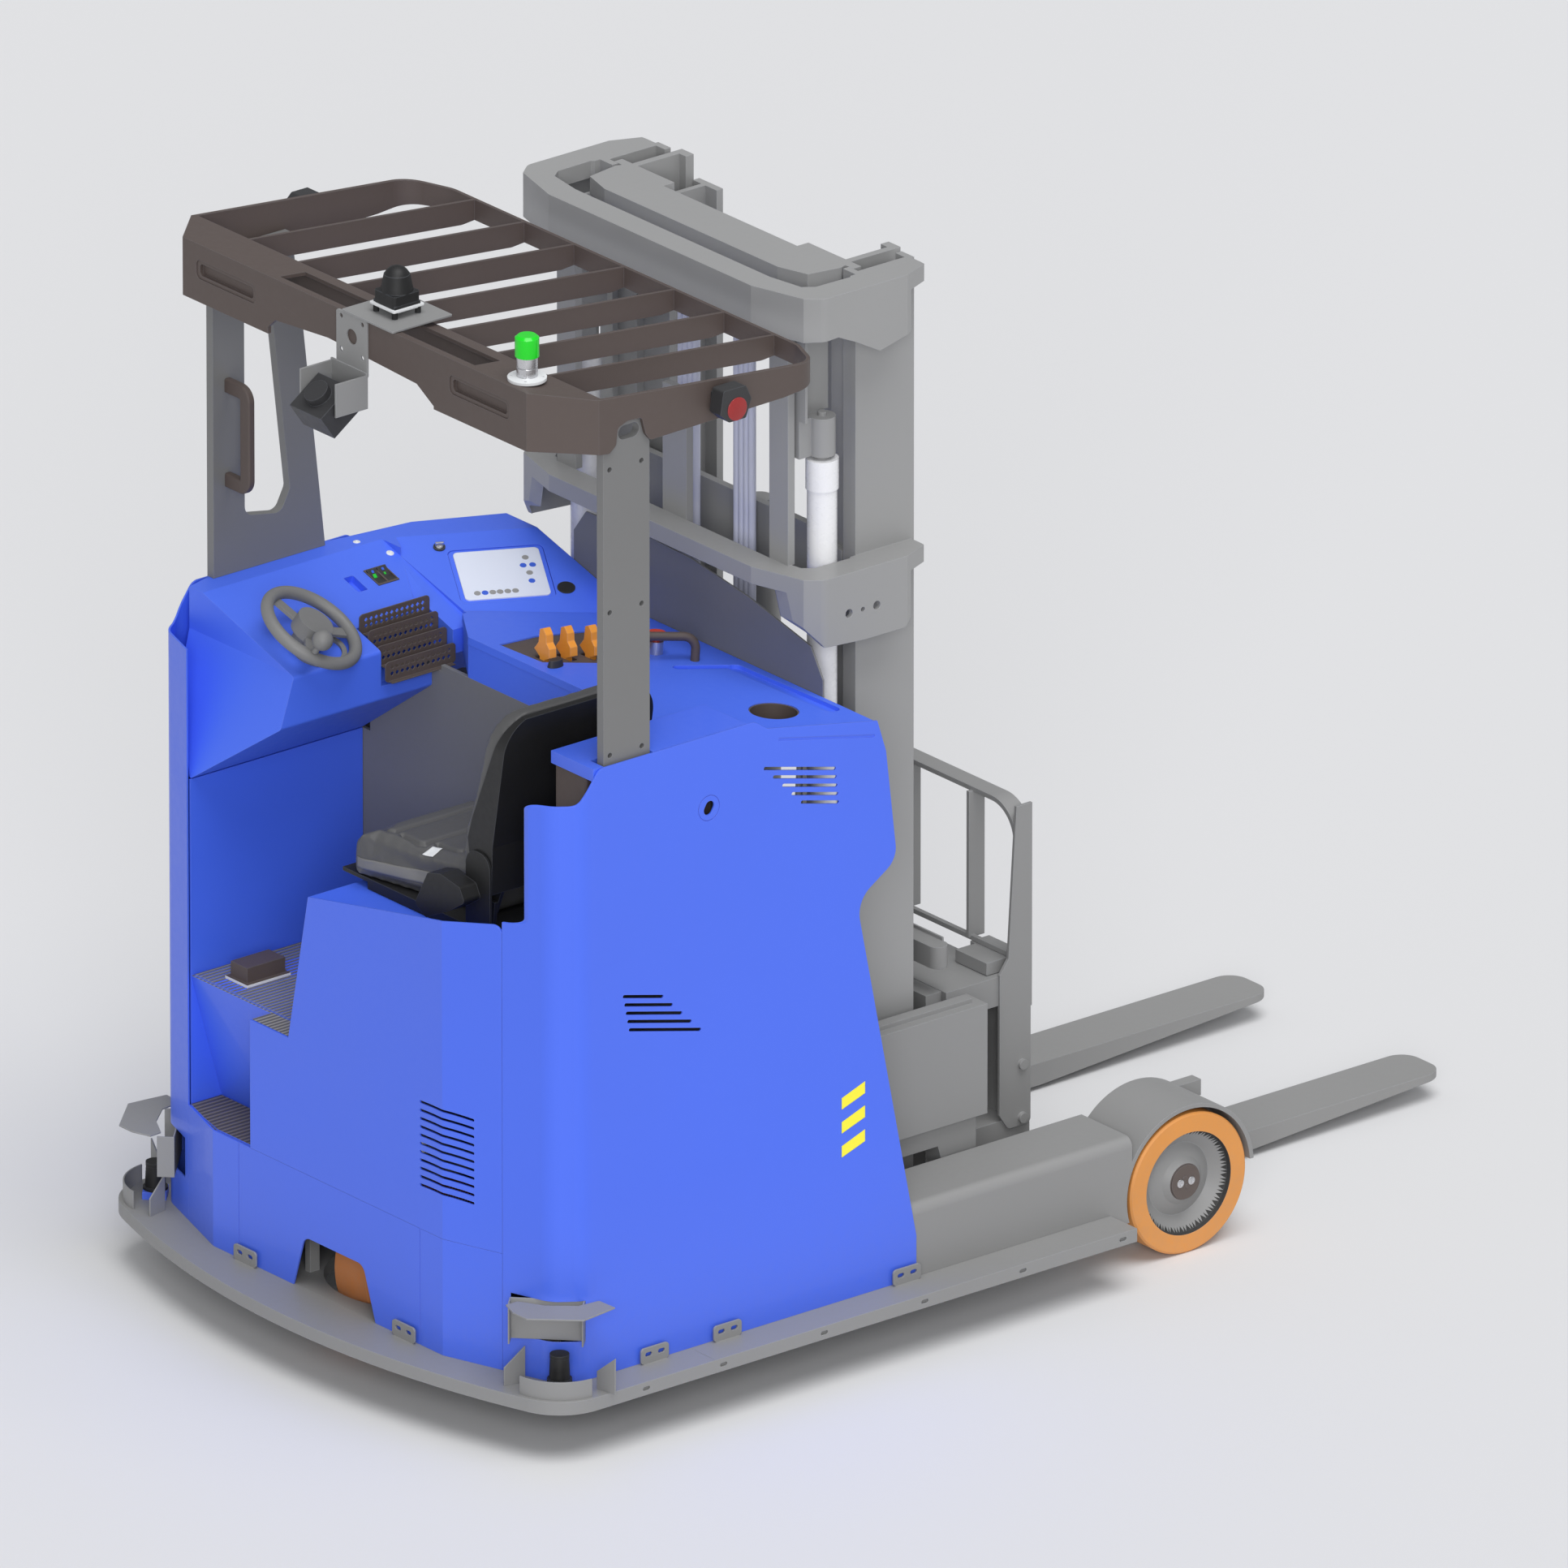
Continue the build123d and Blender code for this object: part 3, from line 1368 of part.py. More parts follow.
with BuildPart() as backrest_pad:
    with BuildSketch(Plane.YZ.offset(seat_left + cover_sheet + 0.8)):
        with BuildLine():
            Polyline(
                (-331.7, 1111),
                (-312, 1100),
                (-303, 1150),
                (-305, 1206),
                (-333, 1284),
                (-368, 1404),
                (-390, backrest_top - 12),
                (-402, backrest_top),
                (-430, backrest_top),
                (-431.7, backrest_top - 6),
                (-418.7, 1440.1),
                (-332.7, 1234.1),
                (-319.7, 1190),
                close=True,
            )
        make_face()
    extrude(amount=seat_right - seat_left - 2 * cover_sheet - 1.6)
    with BuildSketch(Plane.XZ):
        with Locations((seat_middle, hinge_z)):
            Rectangle(
                seat_right - seat_left - 2 * cover_sheet - 1.6,
                backrest_top - hinge_z,
                align=(Align.CENTER, Align.MIN),
            )
        fillet(vertices().group_by(Axis.Y)[-1], backrest_corner)
    extrude(amount=600, mode=Mode.INTERSECT)
keep(backrest_pad.part, "backrest_pad")

# Pedal with its hinge on the floor, and the fixed foot switch box beside it
pedal_x, pedal_y = -860.0, 330.0
pedal_width = 96.0
pedal_hinge_z = floor_top + mat_height + 10
with BuildPart() as pedal_base:
    with Locations((pedal_x, pedal_y - 34, floor_top + mat_height)):
        with GridLocations(pedal_width - 20, 1, 2, 1):
            Box(8, 24, 20, align=(Align.CENTER, Align.CENTER, Align.MIN))
        Box(pedal_width - 28, 26, 1.5, align=(Align.CENTER, Align.CENTER, Align.MIN))
    with BuildSketch(Plane.YZ.offset(pedal_x - pedal_width / 2 + 6)):
        with Locations((pedal_y - 34, pedal_hinge_z)):
            Circle(4)
    extrude(amount=pedal_width - 12)
    with Locations((-1090, 400, floor_top + mat_height)):
        Box(110, 70, 6, align=(Align.CENTER, Align.CENTER, Align.MIN))
    with Locations((-1090, 400, floor_top + mat_height + 6)):
        Box(96, 52, 32, align=(Align.CENTER, Align.CENTER, Align.MIN))

with BuildPart() as floor_with_pedal_base:
    add(cab_floor.part)
    add(pedal_base.part)
keep(floor_with_pedal_base.part, "cab_floor")

with BuildPart() as foot_pedal:
    with BuildSketch(Plane.YZ.offset(pedal_x - pedal_width / 2)):
        with Locations((pedal_y - 34, pedal_hinge_z)):
            Circle(8)
        with BuildLine():
            Polyline(
                (pedal_y - 40, pedal_hinge_z + 5),
                (pedal_y + 40, pedal_hinge_z + 41),
                (pedal_y + 42, pedal_hinge_z + 33),
                (pedal_y - 34, pedal_hinge_z - 4),
                close=True,
            )
        make_face()
        with Locations((pedal_y - 34, pedal_hinge_z)):
            Circle(4.06, mode=Mode.SUBTRACT)
    extrude(amount=pedal_width)
    for slot_x in (-pedal_width / 2 + 10, pedal_width / 2 - 10):
        with Locations((pedal_x + slot_x, pedal_y - 34, pedal_hinge_z)):
            Box(9, 26, 30, mode=Mode.SUBTRACT)
keep(foot_pedal.part, "foot_pedal")

# Reach carriage: side boxes, arms with rollers in the leg channels and the cross beam
box_outer, box_inner = 475.0, 409.0
with BuildPart() as reach_carriage:
    for side in (-1, 1):
        with BuildSketch(Plane.XZ.offset(-side * box_inner)):
            with BuildLine():
                Polyline((-330, 347), (-330, 581), (53, 581), (53, 347), close=True)
            make_face()
        extrude(amount=-side * (box_outer - box_inner))
        with BuildSketch(Plane.XZ.offset(-side * box_inner)):
            with BuildLine():
                Polyline((-318, 340), (-318, 569), (41, 569), (41, 340), close=True)
            make_face()
        extrude(amount=-side * (box_outer - box_inner - 8), mode=Mode.SUBTRACT)
        with BuildSketch(Plane.XZ.offset(-side * box_inner)):
            with BuildLine():
                Polyline(
                    (-340, 163),
                    (-340, 347),
                    (37, 347),
                    (37, 163),
                    (-21, 163),
                    (-60, 300),
                    (-190, 300),
                    (-225, 163),
                    close=True,
                )
            make_face()
        extrude(amount=-side * 50)
        with BuildSketch(Plane.XZ.offset(-side * box_inner)):
            with Locations((-413, 204)):
                SlotOverall(396, 96)
            with Locations((-413, 204)):
                SlotOverall(150, 40, mode=Mode.SUBTRACT)
        extrude(amount=-side * 61)
        with BuildSketch(Plane.XZ.offset(-side * (box_inner + 40))):
            with Locations((roller_front_x, roller_z), (roller_rear_x, roller_z)):
                Circle(22)
        extrude(amount=-side * 40)
        with BuildSketch(Plane.XZ.offset(-side * (leg_inner + 3))):
            with Locations((roller_front_x, roller_z), (roller_rear_x, roller_z)):
                Circle(roller_radius)
        extrude(amount=-side * 78)
        with Locations((-120, side * 442, 586)):
            Box(300, 24, 10)
    with Locations((-234, 0, 380)):
        Box(24, 2 * box_inner + 22, 106)
    with Locations((-140, 0, 276)):
        Box(170, 70, 20)
    with Locations((-222, 0, 310)):
        Box(20, 70, 88)
    with Locations((-60, 0, 240)):
        Box(24, 56, 92)
    with BuildSketch(Plane.YZ.offset(-60)):
        with Locations((0, reach_cylinder_z)):
            Circle(reach_rod_radius)
    extrude(amount=-630)
keep(reach_carriage.part, "reach_carriage")


def head_plan():
    """Plan of the frame round the mast, open towards the forks."""
    with BuildSketch() as plan:
        with BuildLine():
            Polyline(
                (-81, 428),
                (-82, 440),
                (-145, 466),
                (-352, 465),
                (-385, 438),
                (-419, 316),
                (-419, -316),
                (-385, -438),
                (-352, -465),
                (-145, -466),
                (-82, -440),
                (-81, -428),
                (-81, -upright_outer),
                (-235, -upright_outer),
                (-240, -404),
                (-325, -402),
                (-348, -385),
                (-361, -303),
                (-361, 303),
                (-348, 385),
                (-325, 402),
                (-240, 404),
                (-235, upright_outer),
                (-81, upright_outer),
                close=True,
            )
        make_face()
        fillet(plan.vertices().filter_by_position(Axis.X, -353, -351), 26)
    return plan.sketch


def head_skin():
    """The outermost 10 mm of the head plan, which runs down as a skirt."""
    with BuildSketch() as skin:
        add(head_plan())
        with BuildSketch(mode=Mode.PRIVATE) as inside:
            with BuildLine():
                Polyline(
                    (0, 456),
                    (-349, 455),
                    (-376, 432),
                    (-409, 314),
                    (-409, -314),
                    (-376, -432),
                    (-349, -455),
                    (0, -456),
                    close=True,
                )
            make_face()
        add(inside.sketch, mode=Mode.SUBTRACT)
    return skin.sketch


upright_flange = 15.0
with BuildPart() as outer_mast:
    for side in (-1, 1):
        with BuildSketch(Plane.XY.offset(mast_bottom)):
            with BuildLine():
                Polyline(
                    (upright_rear, side * 360),
                    (upright_rear, side * upright_outer),
                    (upright_front, side * upright_outer),
                    (upright_front, side * 360),
                    (upright_front - upright_flange, side * 360),
                    (upright_front - upright_flange, side * 388),
                    (upright_rear + upright_flange, side * 388),
                    (upright_rear + upright_flange, side * 360),
                    close=True,
                )
            make_face()
        extrude(amount=mast_top - mast_bottom)
        # Gusset that ties the upright to the reach carriage
        with Locations((-148, side * (upright_outer + 5), 440)):
            Box(120, 10, 240)
        # Strap between head frame and cross member
        with Locations((-353.5, side * 332, (cross_top + mast_top - head_height) / 2)):
            Box(17, 58, mast_top - head_height - cross_top)
        # Foot of the lift cylinder
        with Locations((cylinder_x, side * cylinder_y, 412)):
            Box(70, 62, 16)
    with Locations((-353.5, -7, 1700)):
        Box(17, 74, 300)
    for top in (mast_top, cross_top):
        with BuildSketch(Plane.XY.offset(top)):
            add(head_plan())
        extrude(amount=-head_height)
    # Skirt of the head frame with its stepped lower edge
    with BuildSketch(Plane.XY.offset(mast_top - head_height)):
        add(head_skin())
    skirt = extrude(amount=-110, mode=Mode.PRIVATE)
    with BuildSketch(Plane.XZ.offset(-500)):
        with BuildLine():
            Polyline(
                (-430, mast_top - head_height),
                (-430, 2079),
                (-385, 2079),
                (-319, 2083),
                (-276, 2063),
                (-214, 2029),
                (-131, 2049),
                (-131, mast_top - head_height),
                close=True,
            )
        make_face()
    skirt_cut = extrude(amount=1000, mode=Mode.PRIVATE)
    add(skirt & skirt_cut)
    # Corner and side skirts of the cross member
    with BuildSketch(Plane.XY.offset(cross_top - head_height)):
        add(head_skin())
    skirt = extrude(amount=-120, mode=Mode.PRIVATE)
    with BuildSketch(Plane.XZ.offset(-500)):
        with BuildLine():
            Polyline(
                (-396, cross_top - head_height),
                (-392, 1486),
                (-352, 1436),
                (-250, 1429),
                (-150, 1429),
                (-131, 1446),
                (-131, cross_top - head_height),
                close=True,
            )
        make_face()
        with Locations((-292, 1494), (-222, 1494)):
            Circle(9, mode=Mode.SUBTRACT)
        with Locations((-257, 1494)):
            Circle(5, mode=Mode.SUBTRACT)
    skirt_cut = extrude(amount=1000, mode=Mode.PRIVATE)
    add(skirt & skirt_cut)
keep(outer_mast.part, "outer_mast")

tube_top = 1793.0
tube_bottom = 420.0
with BuildPart() as lift_cylinders:
    for side in (-1, 1):
        with Locations((cylinder_x, side * cylinder_y, tube_bottom)):
            Cylinder(cylinder_radius, tube_top - tube_bottom, align=(Align.CENTER, Align.CENTER, Align.MIN))
        with Locations((cylinder_x, side * cylinder_y, tube_top)):
            Cylinder(cylinder_radius + 3, 64, align=(Align.CENTER, Align.CENTER, Align.MAX))
            Cylinder(
                rod_radius + 0.08,
                tube_top - tube_bottom - 10,
                align=(Align.CENTER, Align.CENTER, Align.MAX),
                mode=Mode.SUBTRACT,
            )
keep(lift_cylinders.part, "lift_cylinders")

# Middle mast: I-section rails, head plate, ties and the clamps on the cylinder rods
rail_gap = 0.5
middle_flange = 20.0
with BuildPart() as middle_mast:
    rail_rear = upright_rear + upright_flange + rail_gap
    for side in (-1, 1):
        with BuildSketch(Plane.XY.offset(mast_bottom)):
            with BuildLine():
                Polyline(
                    (rail_rear, side * 304),
                    (rail_rear, side * 373),
                    (rail_rear + middle_flange, side * 373),
                    (rail_rear + middle_flange, side * 341),
                    (-61, side * 341),
                    (-61, side * 304),
                    (-61 - middle_flange, side * 304),
                    (-61 - middle_flange, side * 325),
                    (rail_rear + middle_flange, side * 325),
                    (rail_rear + middle_flange, side * 304),
                    close=True,
                )
            make_face()
        extrude(amount=mast_top - mast_bottom)
        # Hanger and clamp that the cylinder rod lifts
        with BuildSketch(Plane.XY.offset(1882)):
            with BuildLine():
                Polyline(
                    (-340, side * 342),
                    (-340, side * 388),
                    (-334, side * 388),
                    (-334, side * 348),
                    (-250, side * 348),
                    (-250, side * 342),
                    close=True,
                )
            make_face()
        extrude(amount=mast_top - head_height - 1882)
        with BuildSketch(Plane.XY.offset(1801)):
            with Locations((cylinder_x, side * cylinder_y)):
                Circle(27)
            with Locations((cylinder_x - 26, side * (cylinder_y - 14))):
                Rectangle(62, 26)
        extrude(amount=81)
        with Locations((cylinder_x, side * cylinder_y, 1882)):
            Cylinder(9, 8, align=(Align.CENTER, Align.CENTER, Align.MIN))
        with Locations((cylinder_x, side * cylinder_y, 1801)):
            Cylinder(rod_radius, 1370, align=(Align.CENTER, Align.CENTER, Align.MAX))
    with BuildSketch(Plane.XY.offset(mast_top)):
        with BuildLine():
            Polyline(
                (-315, -270),
                (-295, -340),
                (-220, -353),
                (-186.8, -341),
                (-186.8, -209),
                (-215, -209),
                (-215, 209),
                (-186.8, 209),
                (-186.8, 341),
                (-220, 353),
                (-295, 340),
                (-315, 270),
                close=True,
            )
        make_face()
    extrude(amount=-head_height)
    with Locations((-214.5, 0, 1515)):
        Box(16, 2 * 310, 170)
    with Locations((-214.5, 0, 520)):
        Box(16, 2 * 310, 150)
    for side in (-1, 1):
        for tie_z in (1515, 520):
            with Locations(((rail_rear - 222) / 2, side * 330, tie_z)):
                Box(222 + rail_rear, 52, 120)
keep(middle_mast.part, "middle_mast")

# Ribbed hose bands that hang from the middle head plate
with BuildPart() as mast_hoses:
    with BuildSketch(Plane.XY.offset(mast_top - head_height)):
        with Locations((-249, -87), (-249, 87)):
            with GridLocations(1, 15.5, 1, 4):
                Circle(7.9)
    extrude(amount=-1350)
    with Locations((-249, 0, mast_top - head_height - 1350)):
        Box(20, 236, 12)
    with Locations((-232, 0, mast_top - head_height - 1350)):
        Box(20, 60, 12)
keep(mast_hoses.part, "mast_hoses")

inner_rear = rail_rear + middle_flange + rail_gap
inner_front = -50.0
inner_flange = 16.0
with BuildPart() as inner_mast:
    for side in (-1, 1):
        with BuildSketch(Plane.XY.offset(mast_bottom)):
            with BuildLine():
                Polyline(
                    (inner_rear, side * 226),
                    (inner_rear, side * 320),
                    (inner_rear + inner_flange, side * 320),
                    (inner_rear + inner_flange, side * 274),
                    (inner_front - inner_flange, side * 274),
                    (inner_front - inner_flange, side * 300),
                    (inner_front, side * 300),
                    (inner_front, side * 226),
                    (inner_front - inner_flange, side * 226),
                    (inner_front - inner_flange, side * 262),
                    (inner_rear + inner_flange, side * 262),
                    (inner_rear + inner_flange, side * 226),
                    close=True,
                )
            make_face()
        extrude(amount=2120 - mast_bottom)
    for tie_z, tie_height in ((2100, 40), (350, 40)):
        with Locations((-169.5, 0, tie_z)):
            Box(32, 2 * 226, tie_height)
    # Free lift cylinder between the rails
    with Locations((-140, 0, 370)):
        Cylinder(42, 1100, align=(Align.CENTER, Align.CENTER, Align.MIN))
    with Locations((-140, 0, 1470)):
        Cylinder(26, 90, align=(Align.CENTER, Align.CENTER, Align.MIN))
    with Locations((-170, 0, 1460)):
        Box(30, 2 * 226, 36)
    # The ties leave the lanes of the carriage rollers free
    for side in (-1, 1):
        with Locations((inner_rear + inner_flange + 55, side * 222.25, 1240)):
            Box(110, 7.5, 2000, mode=Mode.SUBTRACT)
keep(inner_mast.part, "inner_mast")

# Lift carriage with its rollers in the inner rails
with BuildPart() as lift_carriage:
    for side in (-1, 1):
        with BuildSketch(Plane.XZ.offset(-side * 190)):
            with BuildLine():
                Polyline(
                    (-150, 140),
                    (-150, 600),
                    (-60, 660),
                    (62, 660),
                    (62, 140),
                    close=True,
                )
            make_face()
            with Locations((-40, 400)):
                RectangleRounded(110, 160, 24, mode=Mode.SUBTRACT)
        extrude(amount=-side * 30)
        with BuildSketch(Plane.XZ.offset(-side * 219)):
            with Locations((-118.5, 210), (-118.5, 560)):
                Circle(51.2)
        extrude(amount=-side * 42)
        with Locations((56, side * 270, 360)):
            Box(12, 100, 300)
    for beam_z in (200, 520):
        with Locations((42, 0, beam_z)):
            Box(40, 640, 70)
    # Round-ended cross bar above, with its holed end plate
    with BuildSketch(Plane.XY.offset(614)):
        with Locations((50, 0)):
            SlotOverall(684, 40, rotation=90)
    extrude(amount=46)
    with Locations((70, -250, 637)):
        Box(4, 130, 60)
        with Locations((0, -40, 0)):
            Box(8, 16, 16, mode=Mode.SUBTRACT)
keep(lift_carriage.part, "lift_carriage")

# Side shifter: hook bars, outer plates and the load backrest
shift_rear = 62.3
with BuildPart() as side_shifter:
    for bar_z, bar_height in ((525, 62), (215, 62)):
        with Locations(((shift_rear + load_face - fork_thickness) / 2, 0, bar_z)):
            Box(load_face - fork_thickness - shift_rear - running_gap, 2 * 334, bar_height)
    for brace_y in (-150, 150):
        with Locations((190, brace_y, 370)):
            Box(36, 60, 260)
    for side in (-1, 1):
        with BuildSketch(Plane.XZ.offset(-side * 333.5)):
            with BuildLine():
                Polyline(
                    (load_face - 40, 910),
                    (load_face, 910),
                    (load_face, 477),
                    (load_face - 3, 477),
                    (load_face - 3, 227),
                    (217, 227),
                    (195, 260),
                    (195, 560),
                    (217, 590),
                    close=True,
                )
            make_face()
            fillet(vertices().group_by(Axis.Y)[0], 12)
        extrude(amount=-side * 6.5)
        with BuildSketch(Plane.XZ.offset(-side * 340)):
            with Locations((252, 358), (252, 244)):
                Circle(11)
        extrude(amount=-side * 8)
    with BuildSketch(Plane.YZ.offset(load_face - 40)):
        with BuildLine():
            Polyline((-340, 700), (-340, 910), (340, 910), (340, 700), (330, 700), (330, 900), (-330, 900), (-330, 700), close=True)
        make_face()
        fillet(vertices().group_by(Axis.Y)[-1], 78)
        inner_corners = vertices().filter_by_position(Axis.Y, 899, 901).filter_by_position(Axis.X, -331, 331)
        fillet(inner_corners, 68)
    extrude(amount=40)
    with Locations((237, 0, 590)):
        Box(10, 667, 10)
    with Locations((load_face - 30, -200, 590), (load_face - 30, 0, 590), (load_face - 30, 200, 590)):
        Box(40, 8, 312, align=(Align.CENTER, Align.CENTER, Align.MIN))
keep(side_shifter.part, "side_shifter")

for side_name, side in (("right", -1), ("left", 1)):
    with BuildPart() as fork:
        with BuildSketch(Plane.XZ.offset(-side * fork_y)):
            with BuildLine():
                Polyline(
                    (load_face - fork_thickness, fork_top - fork_thickness),
                    (load_face - fork_thickness, 584),
                    (load_face, 584),
                    (load_face, fork_top),
                    (fork_tip, fork_top),
                    (fork_tip, fork_top - 13),
                    (750, fork_top - fork_thickness),
                    close=True,
                )
            make_face()
            fillet(vertices().filter_by_position(Axis.X, load_face - 1, load_face + 1).sort_by(Axis.Y)[0], 18)
            fillet(vertices().sort_by(Axis.X)[0:2].sort_by(Axis.Y)[0], 34)
        extrude(amount=fork_width / 2, both=True)
        fillet(edges().filter_by(Axis.Z).sort_by(Axis.X)[-2:], 43)
        # Hook over the upper bar
        with Locations((load_face - fork_thickness - 20, side * fork_y, 570.5)):
            Box(60, fork_width - 30, 26)
        # Wear pad below the tip
        with Locations((fork_tip - 110, side * fork_y, fork_top - 20)):
            Box(60, 40, 12)
    keep(fork.part, f"{side_name}_fork")

# Overhead guard: tilted band, hollow rear beam and seven slats
guard_slope = (guard_rear_z - guard_front_z) / (guard_front - guard_rear)


def guard_plan(inset=0.0):
    """Plan outline of the overhead guard."""
    with BuildSketch() as plan:
        with BuildLine():
            Polyline(
                (guard_rear, -538),
                (-1061, -guard_half_width),
                (-520, -guard_half_width),
                (guard_front, -540),
                (guard_front, 540),
                (-520, guard_half_width),
                (-1061, guard_half_width),
                (guard_rear, 538),
                close=True,
            )
        make_face()
        fillet(plan.vertices().filter_by_position(Axis.X, -521, guard_front + 1), 60)
        if inset:
            offset(amount=-inset)
    return plan.sketch


def below_guard_top():
    """Space below the tilted top plane of the guard, as a side view in X and Z."""
    with BuildSketch() as space:
        with BuildLine():
            Polyline(
                (guard_rear - 10, 1990),
                (guard_rear - 10, guard_rear_z + 10 * guard_slope),
                (guard_front + 10, guard_front_z - 10 * guard_slope),
                (guard_front + 10, 1990),
                close=True,
            )
        make_face()
    return space.sketch


def guard_side_edge():
    """Lower edge of the guard seen from the side, with the notch over the post."""
    with BuildSketch() as edge_view:
        with BuildLine():
            Polyline(
                (guard_rear - 10, 1980),
                (guard_rear - 10, guard_bottom),
                (-1066, guard_bottom - 2),
                (-1035, guard_bottom - 6),
                (-1018, 2084),
                (-1014, 2119),
                (-989, 2128),
                (-954, 2126),
                (-944, 2089),
                (-932, guard_bottom - 2),
                (-598, 2079),
                (guard_front + 10, 2090),
                (guard_front + 10, 1980),
                close=True,
            )
        make_face()
        fillet(edge_view.vertices().filter_by_position(Axis.X, -1036, -931), 9)
    return edge_view.sketch


with BuildPart() as overhead_guard:
    with BuildSketch(Plane.XY.offset(2000)):
        add(guard_plan())
        add(guard_plan(guard_wall), mode=Mode.SUBTRACT)
    extrude(amount=260)
    # Rear beam: top sheet with two long openings, and its front web
    with BuildSketch(Plane.XY.offset(2000)):
        add(guard_plan())
        with Locations((-1050, 0)):
            Rectangle(900, 1400, align=(Align.MIN, Align.CENTER), mode=Mode.SUBTRACT)
    extrude(amount=260)
    with BuildSketch(Plane.XZ.offset(-700)):
        with BuildLine():
            Polyline(
                (guard_rear + guard_wall, 1990),
                (guard_rear + guard_wall, guard_rear_z - guard_wall),
                (-1058, guard_rear_z - guard_wall - 104 * guard_slope),
                (-1058, 1990),
                close=True,
            )
        make_face()
    beam_hollow = extrude(amount=1400, mode=Mode.PRIVATE)
    with BuildSketch(Plane.XY.offset(1990)):
        add(guard_plan(guard_wall))
    plan_hollow = extrude(amount=280, mode=Mode.PRIVATE)
    add(beam_hollow & plan_hollow, mode=Mode.SUBTRACT)
    with BuildSketch(Plane.XY.offset(2150)):
        with Locations((-1112, 130), (-1112, -230)):
            Rectangle(64, 250, mode=Mode.ADD)
    extrude(amount=100, mode=Mode.SUBTRACT)
    # Slats along the truck
    for slat in range(7):
        with BuildSketch(Plane.XZ.offset(-(slat - 3) * slat_pitch)):
            with BuildLine():
                Polyline(
                    (-1052, 2186 - slat_height),
                    (-1052, 2200),
                    (guard_front - 6, guard_front_z + 9),
                    (guard_front - 6, 2086),
                    (-520, 2086),
                    close=True,
                )
            make_face()
        extrude(amount=3, both=True)
    with BuildSketch(Plane.XZ.offset(-700)):
        add(below_guard_top())
    extrude(amount=1400, mode=Mode.INTERSECT)
    with BuildSketch(Plane.XZ.offset(-700)):
        add(guard_side_edge())
    extrude(amount=1400, mode=Mode.SUBTRACT)
    # Lower edge of the rear beam, arched towards the middle
    with BuildSketch(Plane.YZ.offset(guard_rear - 10)):
        with BuildLine():
            Polyline(
                (270, 2070),
                (270, 2090),
                (247, 2111),
                (81, 2125),
                (-196, 2113),
                (-249, 2082),
                (-249, 2070),
                close=True,
            )
        make_face()
        fillet(vertices().group_by(Axis.Y)[-1], 10)
    extrude(amount=60, mode=Mode.SUBTRACT)
    # Lamp openings in the rear face
    with BuildSketch(Plane.YZ.offset(guard_rear - 10)):
        with Locations((402, 2145), (-391, 2145)):
            RectangleRounded(186, 40, 12)
    extrude(amount=40, mode=Mode.SUBTRACT)
keep(overhead_guard.part, "overhead_guard")

# Tail lamps and side markers of the guard
with BuildPart() as guard_lamps:
    for lamp_y in (402, -391):
        with BuildSketch(Plane.YZ.offset(guard_rear + 2)):
            with Locations((lamp_y, 2145)):
                RectangleRounded(185.6, 39.6, 11.8)
        extrude(amount=28)
        with BuildSketch(Plane.YZ.offset(guard_rear + 2)):
            with Locations((lamp_y, 2145)):
                RectangleRounded(168, 25, 8)
        extrude(amount=8, mode=Mode.SUBTRACT)
    for side in (-1, 1):
        marker = Plane(origin=(-756, side * guard_half_width, 2118), x_dir=(1, 0, 0), z_dir=(0, side, 0))
        with BuildSketch(marker):
            Rectangle(50, 40)
        extrude(amount=12)
        with BuildSketch(marker.offset(12)):
            with BuildLine():
                Polyline((-38, -14), (-30, 34), (26, 34), (40, 4), (26, -34), (-16, -34), close=True)
            make_face()
            fillet(vertices(), 5)
        extrude(amount=34)
keep(guard_lamps.part, "guard_lamps")

# Posts of the guard: slotted plate on the right, window frame plate on the left
with BuildPart() as cab_posts:
    with BuildSketch(Plane.XZ.offset(post_y)):
        with BuildLine():
            Polyline(
                (-1044, platform_top + 0.3),
                (-1044, 2068),
                (-1012, 2126),
                (-958, 2126),
                (-928, 2068),
                (-928, platform_top + 0.3),
                close=True,
            )
        make_face()
        fillet(vertices().group_by(Axis.Y)[-1], 20)
        with Locations((-980, 2102)):
            SlotOverall(52, 30, mode=Mode.SUBTRACT)
        with Locations((-988, 1732)):
            with GridLocations(80, 300, 2, 3):
                Circle(5.5, mode=Mode.SUBTRACT)
    extrude(amount=post_wall)
    with BuildSketch(Plane.XZ.offset(-post_y)):
        with BuildLine():
            Polyline(
                (-1031, dash_top + 0.3),
                (-1031, 2105),
                (-832, 2105),
                (-803, 1892),
                (-764, 1546),
                (-750, dash_top + 0.3),
                close=True,
            )
        make_face()
        with BuildLine():
            Polyline(
                (-952, 1535),
                (-952, 2040),
                (-895, 2040),
                (-876, 1898),
                (-838, 1565),
                (-862, 1518),
                close=True,
            )
        window = make_face(mode=Mode.SUBTRACT)
        fillet(vertices().filter_by_position(Axis.X, -953, -837).filter_by_position(Axis.Y, 1500, 2050), 22)
    extrude(amount=-post_wall)
keep(cab_posts.part, "cab_posts")

# Handle on the left post
with BuildPart() as entry_handle:
    with BuildLine():
        handle_path = FilletPolyline(
            (-994, post_y - 0.3, 1622),
            (-994, post_y - 62, 1622),
            (-994, post_y - 62, 1822),
            (-994, post_y - 0.3, 1822),
            radius=18,
        )
    with BuildSketch(Plane(origin=handle_path @ 0, z_dir=handle_path % 0)):
        RectangleRounded(30, 16, 4)
    sweep(path=handle_path)
keep(entry_handle.part, "entry_handle")

